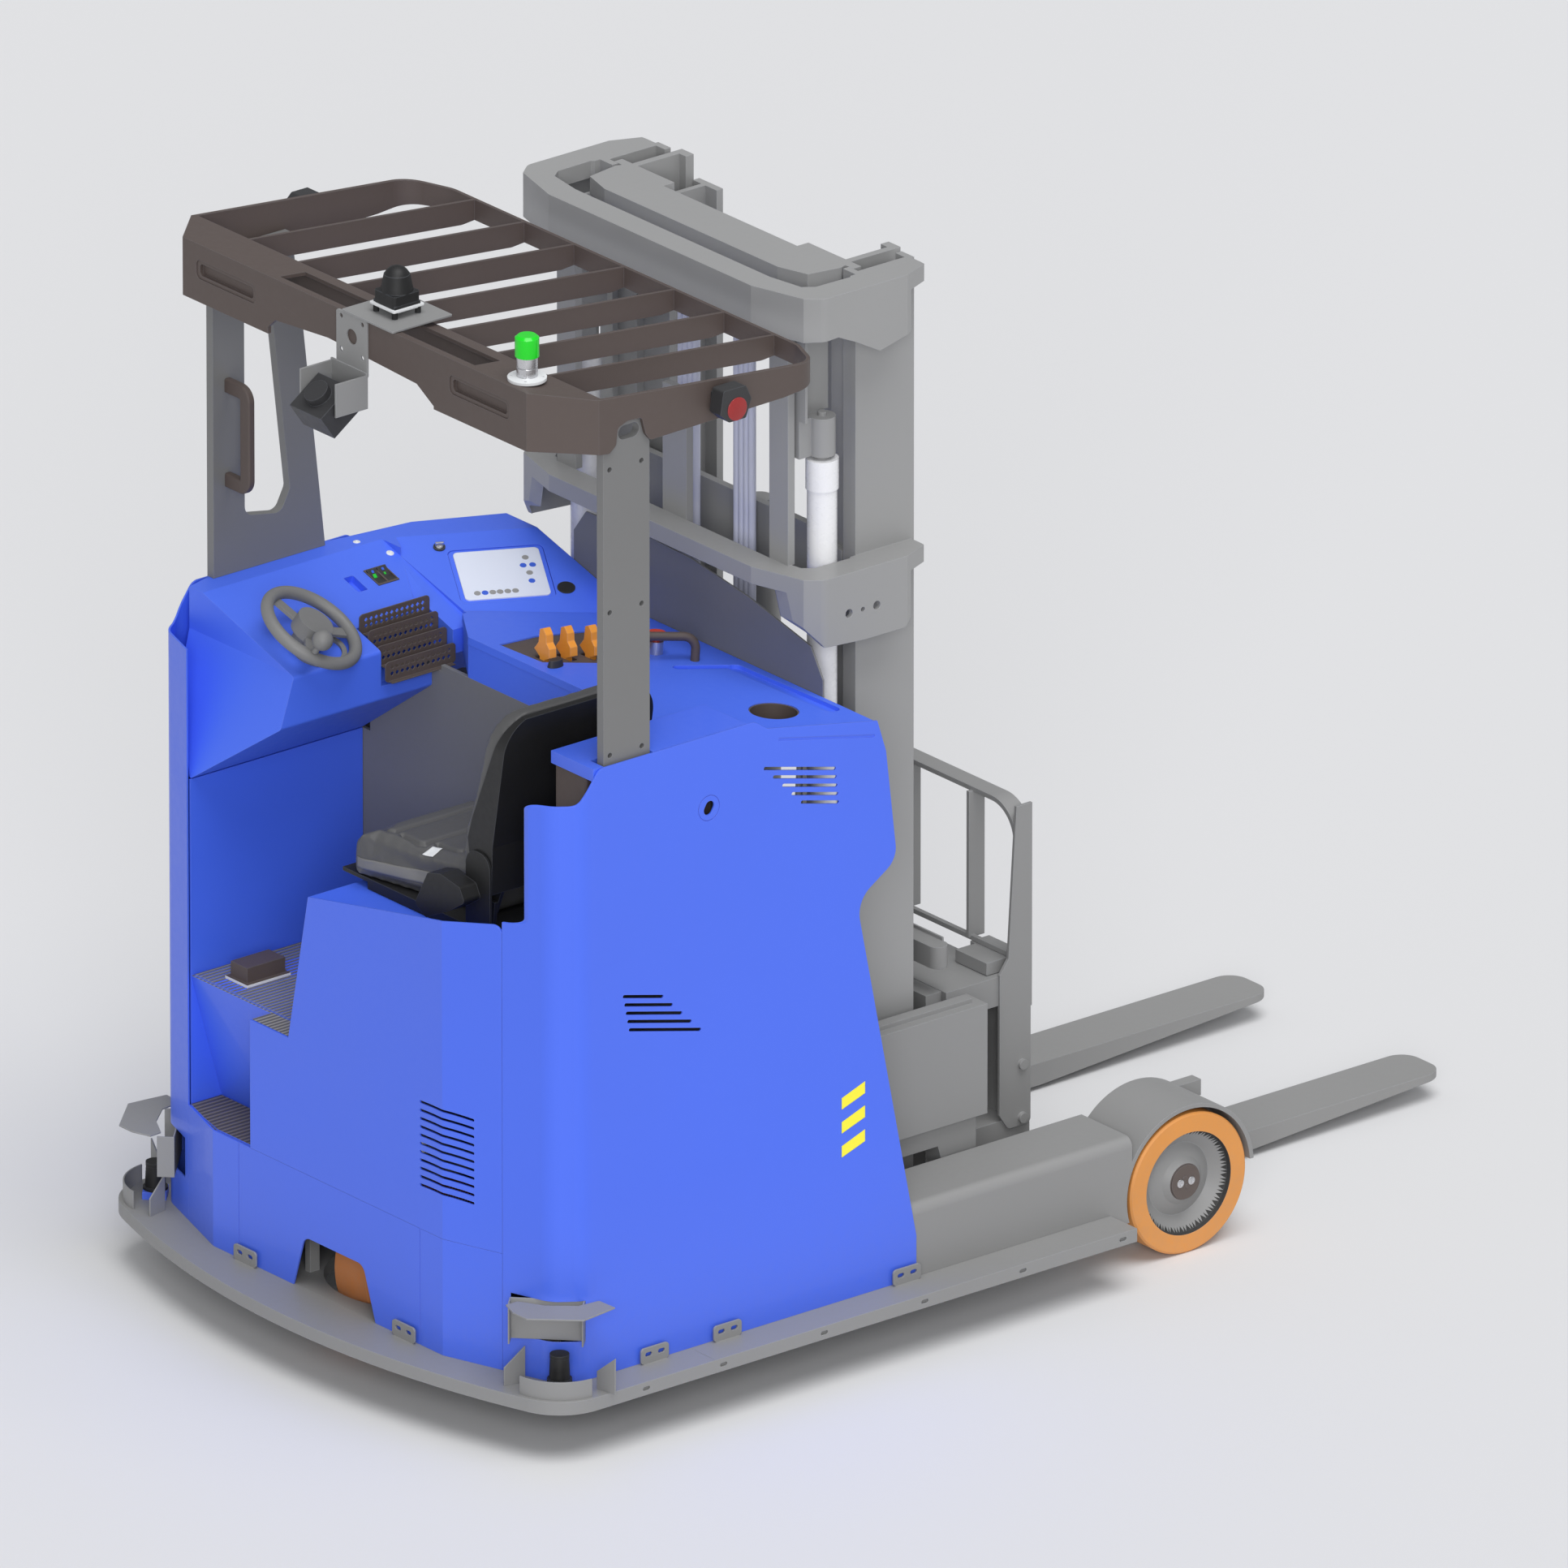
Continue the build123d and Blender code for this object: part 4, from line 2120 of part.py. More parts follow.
# Roof sensor on its plate, and the bracket of the rear camera
roof_x, roof_y = -1093.0, -49.0
roof_top = guard_rear_z + (guard_rear - roof_x + 76) * guard_slope
with BuildPart() as roof_sensors:
    with BuildSketch(Plane.XY.offset(roof_top)):
        with Locations((roof_x, roof_y)):
            RectangleRounded(150, 160, 3)
    extrude(amount=4)
    with BuildSketch(Plane.XY.offset(roof_top + 4)):
        with Locations((roof_x, roof_y)):
            with GridLocations(58, 58, 2, 2):
                Circle(6)
    extrude(amount=16)
    for fin in range(9):
        with Locations((roof_x, roof_y - 32 + 8 * fin, roof_top + 16)):
            Box(64, 3, 14, align=(Align.CENTER, Align.CENTER, Align.MIN))
    with BuildSketch(Plane.XY.offset(roof_top + 20)):
        with Locations((roof_x, roof_y)):
            RectangleRounded(78, 78, 4)
    extrude(amount=4)
    with BuildSketch(Plane.XY.offset(roof_top + 24)):
        with Locations((roof_x, roof_y)):
            RectangleRounded(66, 66, 8)
    extrude(amount=26)
    with Locations((roof_x, roof_y, roof_top + 50)):
        Cone(33, 26, 34, align=(Align.CENTER, Align.CENTER, Align.MIN))
    with Locations((roof_x, roof_y, roof_top + 74)):
        Sphere(27)
    # Camera bracket on the rear face of the beam
    with BuildSketch(Plane.YZ.offset(guard_rear - 4)):
        with Locations((2, 2138)):
            RectangleRounded(96, 120, 6)
            with Locations((0, 14)):
                Circle(16, mode=Mode.SUBTRACT)
                with GridLocations(66, 70, 2, 2):
                    Circle(5, mode=Mode.SUBTRACT)
    extrude(amount=4)
    with Locations((guard_rear - 42, -44, 2050)):
        Box(80, 4, 70)
    with Locations((guard_rear - 42, 66, 2050)):
        Box(80, 4, 70)
    with Locations((guard_rear - 4, 10, 2068)):
        Box(4, 112, 44)
    with BuildSketch(Plane.XZ.offset(44)):
        with Locations((guard_rear - 56, 2040)):
            Circle(5)
    extrude(amount=-112)
keep(roof_sensors.part, "roof_sensors")

camera_pivot_x, camera_pivot_z = guard_rear - 56, 2040.0
with BuildPart() as rear_camera:
    with Locations(Plane(origin=(camera_pivot_x, 10, camera_pivot_z), x_dir=(0.82, 0, 0.57), z_dir=(-0.57, 0, 0.82))):
        with Locations((-16, 0, -14)):
            Box(88, 98, 60)
        with Locations((-16, 0, 18)):
            Cylinder(26, 30, rotation=(0, 0, 0))
    with BuildSketch(Plane.XZ.offset(60)):
        with Locations((camera_pivot_x, camera_pivot_z)):
            Circle(5.08)
    extrude(amount=-140, mode=Mode.SUBTRACT)
keep(rear_camera.part, "rear_camera")

beacon_x, beacon_y = -1112.0, -478.0
beacon_z = guard_rear_z + (guard_rear - beacon_x) * guard_slope
with BuildPart() as beacon:
    with BuildSketch(Plane.XZ.offset(-beacon_y)):
        with BuildLine():
            Polyline(
                (beacon_x, beacon_z + 1.5),
                (beacon_x + 12, beacon_z + 1.5),
                (beacon_x + 12, beacon_z + 4),
                (beacon_x + 39, beacon_z + 4),
                (beacon_x + 39, beacon_z + 10),
                (beacon_x + 21, beacon_z + 12),
                (beacon_x + 21, beacon_z + 30),
                (beacon_x + 19.5, beacon_z + 31),
                (beacon_x + 21, beacon_z + 32),
                (beacon_x + 21, beacon_z + 52),
                (beacon_x + 24, beacon_z + 53),
                (beacon_x + 24, beacon_z + 92),
                (beacon_x + 18, beacon_z + 97),
                (beacon_x, beacon_z + 97),
                close=True,
            )
        make_face()
    revolve(axis=Axis((beacon_x, beacon_y, 0), (0, 0, 1)))
    with BuildSketch(Plane.XY.offset(beacon_z - 6)):
        with Locations((beacon_x, beacon_y)):
            with PolarLocations(31, 4, start_angle=45):
                Circle(2.5)
    extrude(amount=30, mode=Mode.SUBTRACT)
keep(beacon.part, "beacon")

# Corner scanners on the ring, each in a tray and below a hood
scanner_x, scanner_y = -1163.0, 637.0
with BuildPart() as corner_sensors:
    for side in (-1, 1):
        with Locations((scanner_x, side * scanner_y, ring_top)):
            with Locations(Rotation(0, 0, side * 45)):
                Box(48, 48, 16, align=(Align.CENTER, Align.CENTER, Align.MIN))
            with Locations((0, 0, 16)):
                Cylinder(25, 6, align=(Align.CENTER, Align.CENTER, Align.MIN))
                with Locations((0, 0, 6)):
                    Cone(21, 19, 44, align=(Align.CENTER, Align.CENTER, Align.MIN))
                    with Locations((0, 0, 44)):
                        Cylinder(19.4, 8, align=(Align.CENTER, Align.CENTER, Align.MIN))
        # Tray wall round the corner of the ring
        with BuildSketch(Plane.XY.offset(ring_top)):
            with Locations((-1135, side * 604)):
                Circle(ring_corner_radius - 8)
                Circle(ring_corner_radius - 11, mode=Mode.SUBTRACT)
            with BuildLine():
                Polyline(
                    (-1135, side * 604),
                    (-1135 - 200, side * (604 + 10)),
                    (-1135 - 200, side * (604 + 200)),
                    (-1135 - 10, side * (604 + 200)),
                    close=True,
                )
            make_face(mode=Mode.INTERSECT)
        extrude(amount=38)
        # Pointed end walls of the tray
        for wall_x, wall_y, turn in ((-1232, 560, 12), (-1106, 694, 78)):
            with BuildSketch(
                Plane(
                    origin=(wall_x, side * wall_y, ring_top),
                    x_dir=(cos(radians(turn)), side * sin(radians(turn)), 0),
                    z_dir=(side * sin(radians(turn)), -cos(radians(turn)), 0),
                )
            ):
                with BuildLine():
                    Polyline((-8, 0), (-8, 38), (38, 76), (38, 0), close=True)
                make_face()
            extrude(amount=1.5, both=True)
        # Hood plate with bent wings, and its back plate in the corner window
        with BuildSketch(Plane.XY.offset(window_top)):
            with BuildLine():
                Polyline(
                    (-1250, side * 642),
                    (-1167, side * 718),
                    (-1120, side * 712),
                    (-1079, side * 706),
                    (-1082, side * 660),
                    (-1130, side * 655),
                    (-1180, side * 612),
                    (-1208, side * 562),
                    (-1236, side * 560),
                    (-1250, side * 600),
                    close=True,
                )
            make_face()
        extrude(amount=3)
        with BuildSketch(corner_plane(side, window_bottom + 0.3)):
            with Locations((0, side * 8)):
                Rectangle(149, 3)
            with Locations((-73, side * 24), (73, side * 24)):
                Rectangle(3, 34)
        extrude(amount=window_top - window_bottom - 0.3)
keep(corner_sensors.part, "corner_sensors")
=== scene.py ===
# %% [markdown]
# # Looks for an autonomous reach truck
# The truck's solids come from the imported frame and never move.
# This script gives them materials, adds the small and the soft pieces, and sets light and camera.

# %% Load the frame
import math

import bmesh
import bpy
from mathutils import Matrix, Vector


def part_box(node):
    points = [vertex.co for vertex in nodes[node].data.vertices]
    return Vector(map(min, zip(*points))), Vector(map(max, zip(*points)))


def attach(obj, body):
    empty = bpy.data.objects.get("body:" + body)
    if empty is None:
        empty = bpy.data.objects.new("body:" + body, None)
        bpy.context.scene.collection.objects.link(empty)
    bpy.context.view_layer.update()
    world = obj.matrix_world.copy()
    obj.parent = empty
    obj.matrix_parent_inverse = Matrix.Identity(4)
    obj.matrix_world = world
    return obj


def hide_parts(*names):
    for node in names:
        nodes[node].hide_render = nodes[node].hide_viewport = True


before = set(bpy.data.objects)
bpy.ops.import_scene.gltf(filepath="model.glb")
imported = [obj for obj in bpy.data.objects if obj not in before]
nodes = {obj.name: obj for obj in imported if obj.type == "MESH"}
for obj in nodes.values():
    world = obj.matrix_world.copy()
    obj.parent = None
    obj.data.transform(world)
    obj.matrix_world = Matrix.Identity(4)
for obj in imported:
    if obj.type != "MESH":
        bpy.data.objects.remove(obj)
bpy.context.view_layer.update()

# %% [markdown]
# ## Shared shader groups
# A node group works like a function that several materials call.
# The first one varies a colour with soft noise and lets a little dust settle near the floor.

# %% Group for tone and dust
def new_group(name, inputs, outputs):
    group = bpy.data.node_groups.new(name, "ShaderNodeTree")
    for socket_name, socket_type, value in inputs:
        socket = group.interface.new_socket(socket_name, in_out="INPUT", socket_type=socket_type)
        socket.default_value = value
    for socket_name, socket_type in outputs:
        group.interface.new_socket(socket_name, in_out="OUTPUT", socket_type=socket_type)
    nodes_in = group.nodes.new("NodeGroupInput")
    nodes_out = group.nodes.new("NodeGroupOutput")
    return group, nodes_in, nodes_out


def math_node(tree, operation, first, second=None, clamp=False):
    node = tree.nodes.new("ShaderNodeMath")
    node.operation = operation
    node.use_clamp = clamp
    for index, value in enumerate((first, second)):
        if value is None:
            continue
        if isinstance(value, (int, float)):
            node.inputs[index].default_value = value
        else:
            tree.links.new(value, node.inputs[index])
    return node.outputs[0]


def noise_node(tree, vector, scale, detail=3.0, roughness=0.5):
    node = tree.nodes.new("ShaderNodeTexNoise")
    node.inputs["Detail"].default_value = detail
    node.inputs["Roughness"].default_value = roughness
    tree.links.new(vector, node.inputs["Vector"])
    if isinstance(scale, (int, float)):
        node.inputs["Scale"].default_value = scale
    else:
        tree.links.new(scale, node.inputs["Scale"])
    return node.outputs["Fac"]


tone_group, tone_in, tone_out = new_group(
    "surface_tone",
    [
        ("Color", "NodeSocketColor", (0.5, 0.5, 0.5, 1)),
        ("Variation", "NodeSocketFloat", 0.05),
        ("Scale", "NodeSocketFloat", 3.0),
        ("Dust", "NodeSocketFloat", 0.1),
        ("Wear", "NodeSocketFloat", 0.1),
    ],
    [("Color", "NodeSocketColor"), ("Mask", "NodeSocketFloat")],
)
coords = tone_group.nodes.new("ShaderNodeTexCoord").outputs["Object"]
broad = noise_node(tone_group, coords, tone_in.outputs["Scale"], 4.0)
fine = noise_node(tone_group, coords, 60.0, 5.0, 0.65)
swing = math_node(tone_group, "SUBTRACT", broad, 0.5)
swing = math_node(tone_group, "MULTIPLY", swing, tone_in.outputs["Variation"])
gain = math_node(tone_group, "ADD", swing, 1.0)
shade = tone_group.nodes.new("ShaderNodeVectorMath")
shade.operation = "SCALE"
tone_group.links.new(tone_in.outputs["Color"], shade.inputs[0])
tone_group.links.new(gain, shade.inputs["Scale"])
split = tone_group.nodes.new("ShaderNodeSeparateXYZ")
tone_group.links.new(coords, split.inputs[0])
low = tone_group.nodes.new("ShaderNodeMapRange")
low.inputs["From Min"].default_value = 0.5
low.inputs["From Max"].default_value = 0.05
tone_group.links.new(split.outputs["Z"], low.inputs["Value"])
patches = math_node(tone_group, "MULTIPLY", low.outputs[0], fine)
dusty = math_node(tone_group, "MULTIPLY", patches, tone_in.outputs["Dust"], clamp=True)
dust_mix = tone_group.nodes.new("ShaderNodeMix")
dust_mix.data_type = "RGBA"
dust_mix.inputs["B"].default_value = (0.33, 0.31, 0.28, 1)
tone_group.links.new(dusty, dust_mix.inputs["Factor"])
tone_group.links.new(shade.outputs[0], dust_mix.inputs["A"])

# %% [markdown]
# Along sharp edges a pale colour is screened over the base: partly paint worn thin, partly a painted
# highlight that makes the edges catch more light.
# The Bevel node bends the normal near an edge, and where it differs from the true normal there is an edge.

# %% Edge mask and group output
bevel = tone_group.nodes.new("ShaderNodeBevel")
bevel.samples = 4
bevel.inputs["Radius"].default_value = 0.0022
geometry = tone_group.nodes.new("ShaderNodeNewGeometry")
facing = tone_group.nodes.new("ShaderNodeVectorMath")
facing.operation = "DOT_PRODUCT"
tone_group.links.new(bevel.outputs[0], facing.inputs[0])
tone_group.links.new(geometry.outputs["Normal"], facing.inputs[1])
edge = math_node(tone_group, "SUBTRACT", 1.0, facing.outputs["Value"])
edge = math_node(tone_group, "MULTIPLY", edge, 6.0, clamp=True)
edge = math_node(tone_group, "MULTIPLY", edge, tone_in.outputs["Wear"])
# Painted highlight with edge wear: a pale blue-grey is screened on along the edges.
light_up = tone_group.nodes.new("ShaderNodeMix")
light_up.data_type = "RGBA"
light_up.blend_type = "SCREEN"
light_up.inputs["B"].default_value = (0.55, 0.6, 0.7, 1)
tone_group.links.new(edge, light_up.inputs["Factor"])
tone_group.links.new(dust_mix.outputs["Result"], light_up.inputs["A"])
tone_group.links.new(light_up.outputs["Result"], tone_out.inputs["Color"])
half_broad = math_node(tone_group, "MULTIPLY", broad, 0.5)
half_fine = math_node(tone_group, "MULTIPLY", fine, 0.5)
mask = math_node(tone_group, "ADD", half_broad, half_fine)
tone_group.links.new(mask, tone_out.inputs["Mask"])

# %% [markdown]
# The second group makes the small relief of a surface: orange peel in paint, grain in plastic.

# %% Group for fine relief
grain_group, grain_in, grain_out = new_group(
    "fine_relief",
    [
        ("Scale", "NodeSocketFloat", 400.0),
        ("Strength", "NodeSocketFloat", 0.1),
        ("Stretch", "NodeSocketVector", (1, 1, 1)),
    ],
    [("Normal", "NodeSocketVector")],
)
coords = grain_group.nodes.new("ShaderNodeTexCoord").outputs["Object"]
stretched = grain_group.nodes.new("ShaderNodeVectorMath")
stretched.operation = "MULTIPLY"
grain_group.links.new(coords, stretched.inputs[0])
grain_group.links.new(grain_in.outputs["Stretch"], stretched.inputs[1])
relief = noise_node(grain_group, stretched.outputs[0], grain_in.outputs["Scale"], 2.0)
bump = grain_group.nodes.new("ShaderNodeBump")
bump.inputs["Distance"].default_value = 0.001
grain_group.links.new(grain_in.outputs["Strength"], bump.inputs["Strength"])
grain_group.links.new(relief, bump.inputs["Height"])
soft_edge = grain_group.nodes.new("ShaderNodeBevel")
soft_edge.samples = 4
soft_edge.inputs["Radius"].default_value = 0.0015
grain_group.links.new(soft_edge.outputs[0], bump.inputs["Normal"])
grain_group.links.new(bump.outputs[0], grain_out.inputs["Normal"])

# %% [markdown]
# ## Materials
# One function builds them all from a colour, a roughness and how much noise, dust and relief they show.

# %% Material builder
def linear(red, green, blue):
    values = []
    for channel in (red, green, blue):
        share = channel / 255
        values.append(share / 12.92 if share <= 0.04045 else ((share + 0.055) / 1.055) ** 2.4)
    return (*values, 1.0)


# The edge amount sets a pale edge colour that is partly edge wear and partly a painted highlight.
def material(name, color, rough, metallic=0.0, variation=0.08, tone_scale=2.5, grain=700.0, relief=0.06,
             stretch=(1, 1, 1), dust=0.12, edge_wear_and_highlight=0.10, coat=0.0, spread=0.08):
    made = bpy.data.materials.new(name)
    made.use_nodes = True
    tree = made.node_tree
    shader = tree.nodes["Principled BSDF"]
    shader.inputs["Metallic"].default_value = metallic
    shader.inputs["Coat Weight"].default_value = coat
    tone = tree.nodes.new("ShaderNodeGroup")
    tone.node_tree = tone_group
    tone.inputs["Color"].default_value = color
    tone.inputs["Variation"].default_value = variation
    tone.inputs["Scale"].default_value = tone_scale
    tone.inputs["Dust"].default_value = dust
    tone.inputs["Wear"].default_value = edge_wear_and_highlight
    tree.links.new(tone.outputs["Color"], shader.inputs["Base Color"])
    rough_range = tree.nodes.new("ShaderNodeMapRange")
    rough_range.inputs["From Min"].default_value = 0.3
    rough_range.inputs["From Max"].default_value = 0.7
    rough_range.inputs["To Min"].default_value = max(0.05, rough - spread)
    rough_range.inputs["To Max"].default_value = min(1.0, rough + spread)
    tree.links.new(tone.outputs["Mask"], rough_range.inputs["Value"])
    tree.links.new(rough_range.outputs[0], shader.inputs["Roughness"])
    surface = tree.nodes.new("ShaderNodeGroup")
    surface.node_tree = grain_group
    surface.inputs["Scale"].default_value = grain
    surface.inputs["Strength"].default_value = relief
    surface.inputs["Stretch"].default_value = stretch
    tree.links.new(surface.outputs["Normal"], shader.inputs["Normal"])
    return made


blue_paint = material("blue_paint", linear(70, 108, 238), 0.42, coat=0.15, variation=0.07)
blue_plastic = material("blue_plastic", linear(74, 113, 242), 0.5, grain=1500, relief=0.08, variation=0.05)
grey_paint = material("grey_paint", linear(140, 140, 140), 0.48, variation=0.10, edge_wear_and_highlight=0.2)
dark_grey_paint = material("dark_grey_paint", linear(118, 118, 118), 0.5, variation=0.10, edge_wear_and_highlight=0.15)
mast_grey = material("mast_grey", linear(152, 152, 152), 0.42, variation=0.10, edge_wear_and_highlight=0.2)
brown_coating = material("brown_coating", linear(86, 75, 71), 0.58, grain=1200, relief=0.14, variation=0.12)
dark_plastic = material("dark_plastic", linear(48, 48, 50), 0.5, grain=1600, relief=0.12, dust=0.05)
black_plastic = material("black_plastic", linear(24, 24, 25), 0.55, grain=1600, relief=0.14, dust=0.03)
grey_plastic = material("grey_plastic", linear(124, 124, 124), 0.5, grain=1500, relief=0.1)
lever_orange = material("lever_orange", linear(244, 160, 60), 0.38, variation=0.1, dust=0.0, edge_wear_and_highlight=0.25)
stop_red = material("stop_red", linear(205, 70, 50), 0.32, dust=0.0)
beacon_green = material(
    "beacon_green", linear(20, 215, 30), 0.22, variation=0.25, tone_scale=12, dust=0.0, relief=0.0,
)
tyre_orange = material(
    "tyre_orange", linear(222, 146, 62), 0.55, variation=0.16, tone_scale=9, grain=500, relief=0.2, dust=0.3,
)
tread_orange = material(
    "tread_orange", linear(205, 122, 52), 0.6, variation=0.2, tone_scale=8, grain=500, relief=0.2, dust=0.4,
)
black_rubber = material("black_rubber", linear(34, 34, 35), 0.75, variation=0.15, grain=900, relief=0.25)
steel = material(
    "steel", linear(205, 205, 208), 0.3, metallic=0.9, variation=0.12,
    grain=260, stretch=(1, 1, 14), relief=0.06,
)
# The lift cylinders are chrome; their bright reflection is painted in as a plain near-white colour.
chrome_reflection_white = material("chrome_painted_reflection", linear(238, 238, 240), 0.28, variation=0.05, coat=0.2, edge_wear_and_highlight=0.0)
hose_grey = material("hose_rubber", linear(205, 208, 228), 0.5, variation=0.12, grain=600, relief=0.12)
battery_black = material("battery_case", linear(52, 52, 54), 0.55, variation=0.2)
white_plastic = material("white_plastic", linear(228, 230, 232), 0.42, variation=0.05, grain=1500)
screen_pale = material(
    "screen_pale", linear(224, 230, 246), 0.16, variation=0.02, relief=0.0, dust=0.0, edge_wear_and_highlight=0.0,
)
red_lens = material(
    "red_lens", linear(150, 34, 34), 0.18, variation=0.2, tone_scale=60, grain=300, relief=0.1,
)
symbol_blue = material("symbol_blue", linear(60, 100, 215), 0.3, relief=0.0, dust=0.0, edge_wear_and_highlight=0.0)
symbol_grey = material("symbol_grey", linear(150, 150, 150), 0.3, relief=0.0, dust=0.0, edge_wear_and_highlight=0.0)
symbol_green = material("symbol_green", linear(40, 200, 60), 0.3, relief=0.0, dust=0.0, edge_wear_and_highlight=0.0)
mark_yellow = material("mark_yellow", linear(252, 242, 60), 0.45, variation=0.05, dust=0.1, edge_wear_and_highlight=0.05)
seat_vinyl = material(
    "seat_vinyl", linear(84, 84, 85), 0.5, variation=0.12, grain=900, relief=0.35, dust=0.0, edge_wear_and_highlight=0.0,
)
seat_band = material(
    "seat_band", linear(118, 118, 119), 0.6, variation=0.1, grain=1200, relief=0.3, dust=0.0, edge_wear_and_highlight=0.0,
)

# %% [markdown]
# A ribbed mat needs one more thing: waves in its relief, and painted shade that darkens the troughs between
# its ribs.

# %% Ribbed mat
def ribbed(name, color, pitch, direction, rough=0.6):
    made = material(name, color, rough, grain=900, relief=0.1, dust=0.2)
    tree = made.node_tree
    shader = tree.nodes["Principled BSDF"]
    coords = tree.nodes.new("ShaderNodeTexCoord").outputs["Object"]
    wave = tree.nodes.new("ShaderNodeTexWave")
    wave.wave_type = "BANDS"
    wave.bands_direction = direction
    wave.wave_profile = "SIN"
    wave.inputs["Scale"].default_value = 1 / pitch / 3.1831
    wave.inputs["Distortion"].default_value = 0.0
    tree.links.new(coords, wave.inputs["Vector"])
    bump = tree.nodes.new("ShaderNodeBump")
    bump.inputs["Strength"].default_value = 0.9
    bump.inputs["Distance"].default_value = 0.002
    tree.links.new(wave.outputs["Fac"], bump.inputs["Height"])
    tree.links.new(bump.outputs[0], shader.inputs["Normal"])
    # Painted shade: the colour is multiplied darker in the low parts of each wave, between the ribs.
    trough_shade = tree.nodes.new("ShaderNodeMix")
    trough_shade.data_type = "RGBA"
    trough_shade.blend_type = "MULTIPLY"
    trough_shade.inputs["B"].default_value = (0.42, 0.41, 0.40, 1)
    old = shader.inputs["Base Color"].links[0].from_socket
    sharp = math_node(tree, "SUBTRACT", 0.85, wave.outputs["Fac"])
    sharp = math_node(tree, "MULTIPLY", sharp, 1.6, clamp=True)
    tree.links.new(sharp, trough_shade.inputs["Factor"])
    tree.links.new(old, trough_shade.inputs["A"])
    tree.links.new(trough_shade.outputs["Result"], shader.inputs["Base Color"])
    return made


mat_grey = ribbed("floor_mat", linear(150, 148, 143), 0.012, "Y")
mat_step = ribbed("step_mat", linear(112, 105, 98), 0.014, "Y")
pedal_grey = ribbed("pedal_rubber", linear(128, 128, 128), 0.011, "X")

# %% [markdown]
# ## Paint the frame
# Most nodes take one material.
# Where a node is built of several real materials, each face picks its own by where it lies.

# %% One material for each node
whole = {
    blue_paint: "right_side_panel left_side_casing rear_skirt rear_cover seat_platform armrest_lid",
    blue_plastic: "dash console",
    grey_paint: (
        "base_frame bumper_ring right_leg left_leg reach_carriage lift_carriage side_shifter "
        "right_fork left_fork"
    ),
    dark_grey_paint: "bulkhead cab_posts",
    mast_grey: "outer_mast middle_mast inner_mast",
    brown_coating: "overhead_guard document_rack equipment_box grab_bar entry_handle console_inserts",
    dark_plastic: "rear_camera rocker_switch_1 rocker_switch_2 function_knob guard_lamps",
    black_plastic: "backrest_shell seat_pan",
    grey_plastic: "steering_wheel spinner_knob dash_fittings",
    lever_orange: "hydraulic_lever_1 hydraulic_lever_2 hydraulic_lever_3 hydraulic_lever_4",
    stop_red: "emergency_stop",
    steel: "drive_unit castor_fork key_switch",
    chrome_reflection_white: "lift_cylinders",
    hose_grey: "mast_hoses",
    battery_black: "battery",
    black_rubber: "castor_wheel",
    pedal_grey: "foot_pedal",
}
for used, names in whole.items():
    for name in names.split():
        nodes[name].data.materials.clear()
        nodes[name].data.materials.append(used)


# %% Several materials on one node
def paint(name, base, rules):
    """Each face takes the material of the first rule that its centre and normal meet, or the base."""
    mesh = nodes[name].data
    mesh.materials.clear()
    mesh.materials.append(base)
    for used, test in rules:
        mesh.materials.append(used)
    counts = [0] * (len(rules) + 1)
    for face in mesh.polygons:
        index = 0
        for number, (used, test) in enumerate(rules, 1):
            if test(face.center, face.normal):
                index = number
                break
        face.material_index = index
        counts[index] += 1
    print("painted", name, counts)


def plane_frame(origin, x_dir, z_dir):
    """A plane's matrix in metres, from the millimetres that its drawing uses."""
    up = Vector(z_dir).normalized()
    along = Vector(x_dir) - up * Vector(x_dir).dot(up)
    along.normalize()
    across = up.cross(along)
    turned = Matrix((along, across, up)).transposed().to_4x4()
    return Matrix.Translation(Vector(origin) / 1000) @ turned


facet = plane_frame((-588, 542, 1420), (0.883, -0.47, 0), (-0.147, -0.276, 1))
steering_facet = plane_frame((0, 566, 1420), (1, 0, 0), (0, -90, 289))
console_plane = plane_frame((-747, 0, 1364), (1, 0, -27 / 385), (27 / 385, 0, 1))
to_facet = facet.inverted()


def facet_box(point, center_x, center_y, half_x, half_y, low=-1.0):
    local = to_facet @ point * 1000
    return abs(local.x - center_x) < half_x and abs(local.y - center_y) < half_y and local.z > low


def radius_from(point, x, y):
    return math.hypot(point.x - x, point.y - y)


# %% Wheels
for side in ("right", "left"):
    low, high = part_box(f"{side}_load_wheel")
    axle_x, axle_z = (low.x + high.x) / 2, (low.z + high.z) / 2
    outer = low.y if side == "right" else high.y

    def wheel_radius(point, x=axle_x, z=axle_z):
        return math.hypot(point.x - x, point.z - z)

    paint(f"{side}_load_wheel", grey_paint, [
        (tyre_orange, lambda p, n: wheel_radius(p) > 0.1185),
        (black_rubber, lambda p, n: 0.1 < wheel_radius(p) < 0.1125),
        (brown_coating, lambda p, n: 0.0 < wheel_radius(p) < 0.0385 and abs(p.y - outer) < 0.03),
    ])
low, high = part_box("drive_wheel")
drive_x, drive_z = (low.x + high.x) / 2, (low.z + high.z) / 2
paint("drive_wheel", steel, [
    (tread_orange, lambda p, n: math.hypot(p.x - drive_x, p.z - drive_z) > 0.13),
])

# %% Beacon, roof sensors and corner scanners
low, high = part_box("beacon")
paint("beacon", steel, [
    (beacon_green, lambda p, n: p.z > high.z - 0.0445),
    (white_plastic, lambda p, n: p.z < low.z + 0.02 and radius_from(p, -1.112, -0.478) > 0.0215),
])
roof_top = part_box("roof_sensors")[1].z - 0.101


def near_roof(point, reach):
    return abs(point.x + 1.093) < reach and abs(point.y + 0.049) < reach


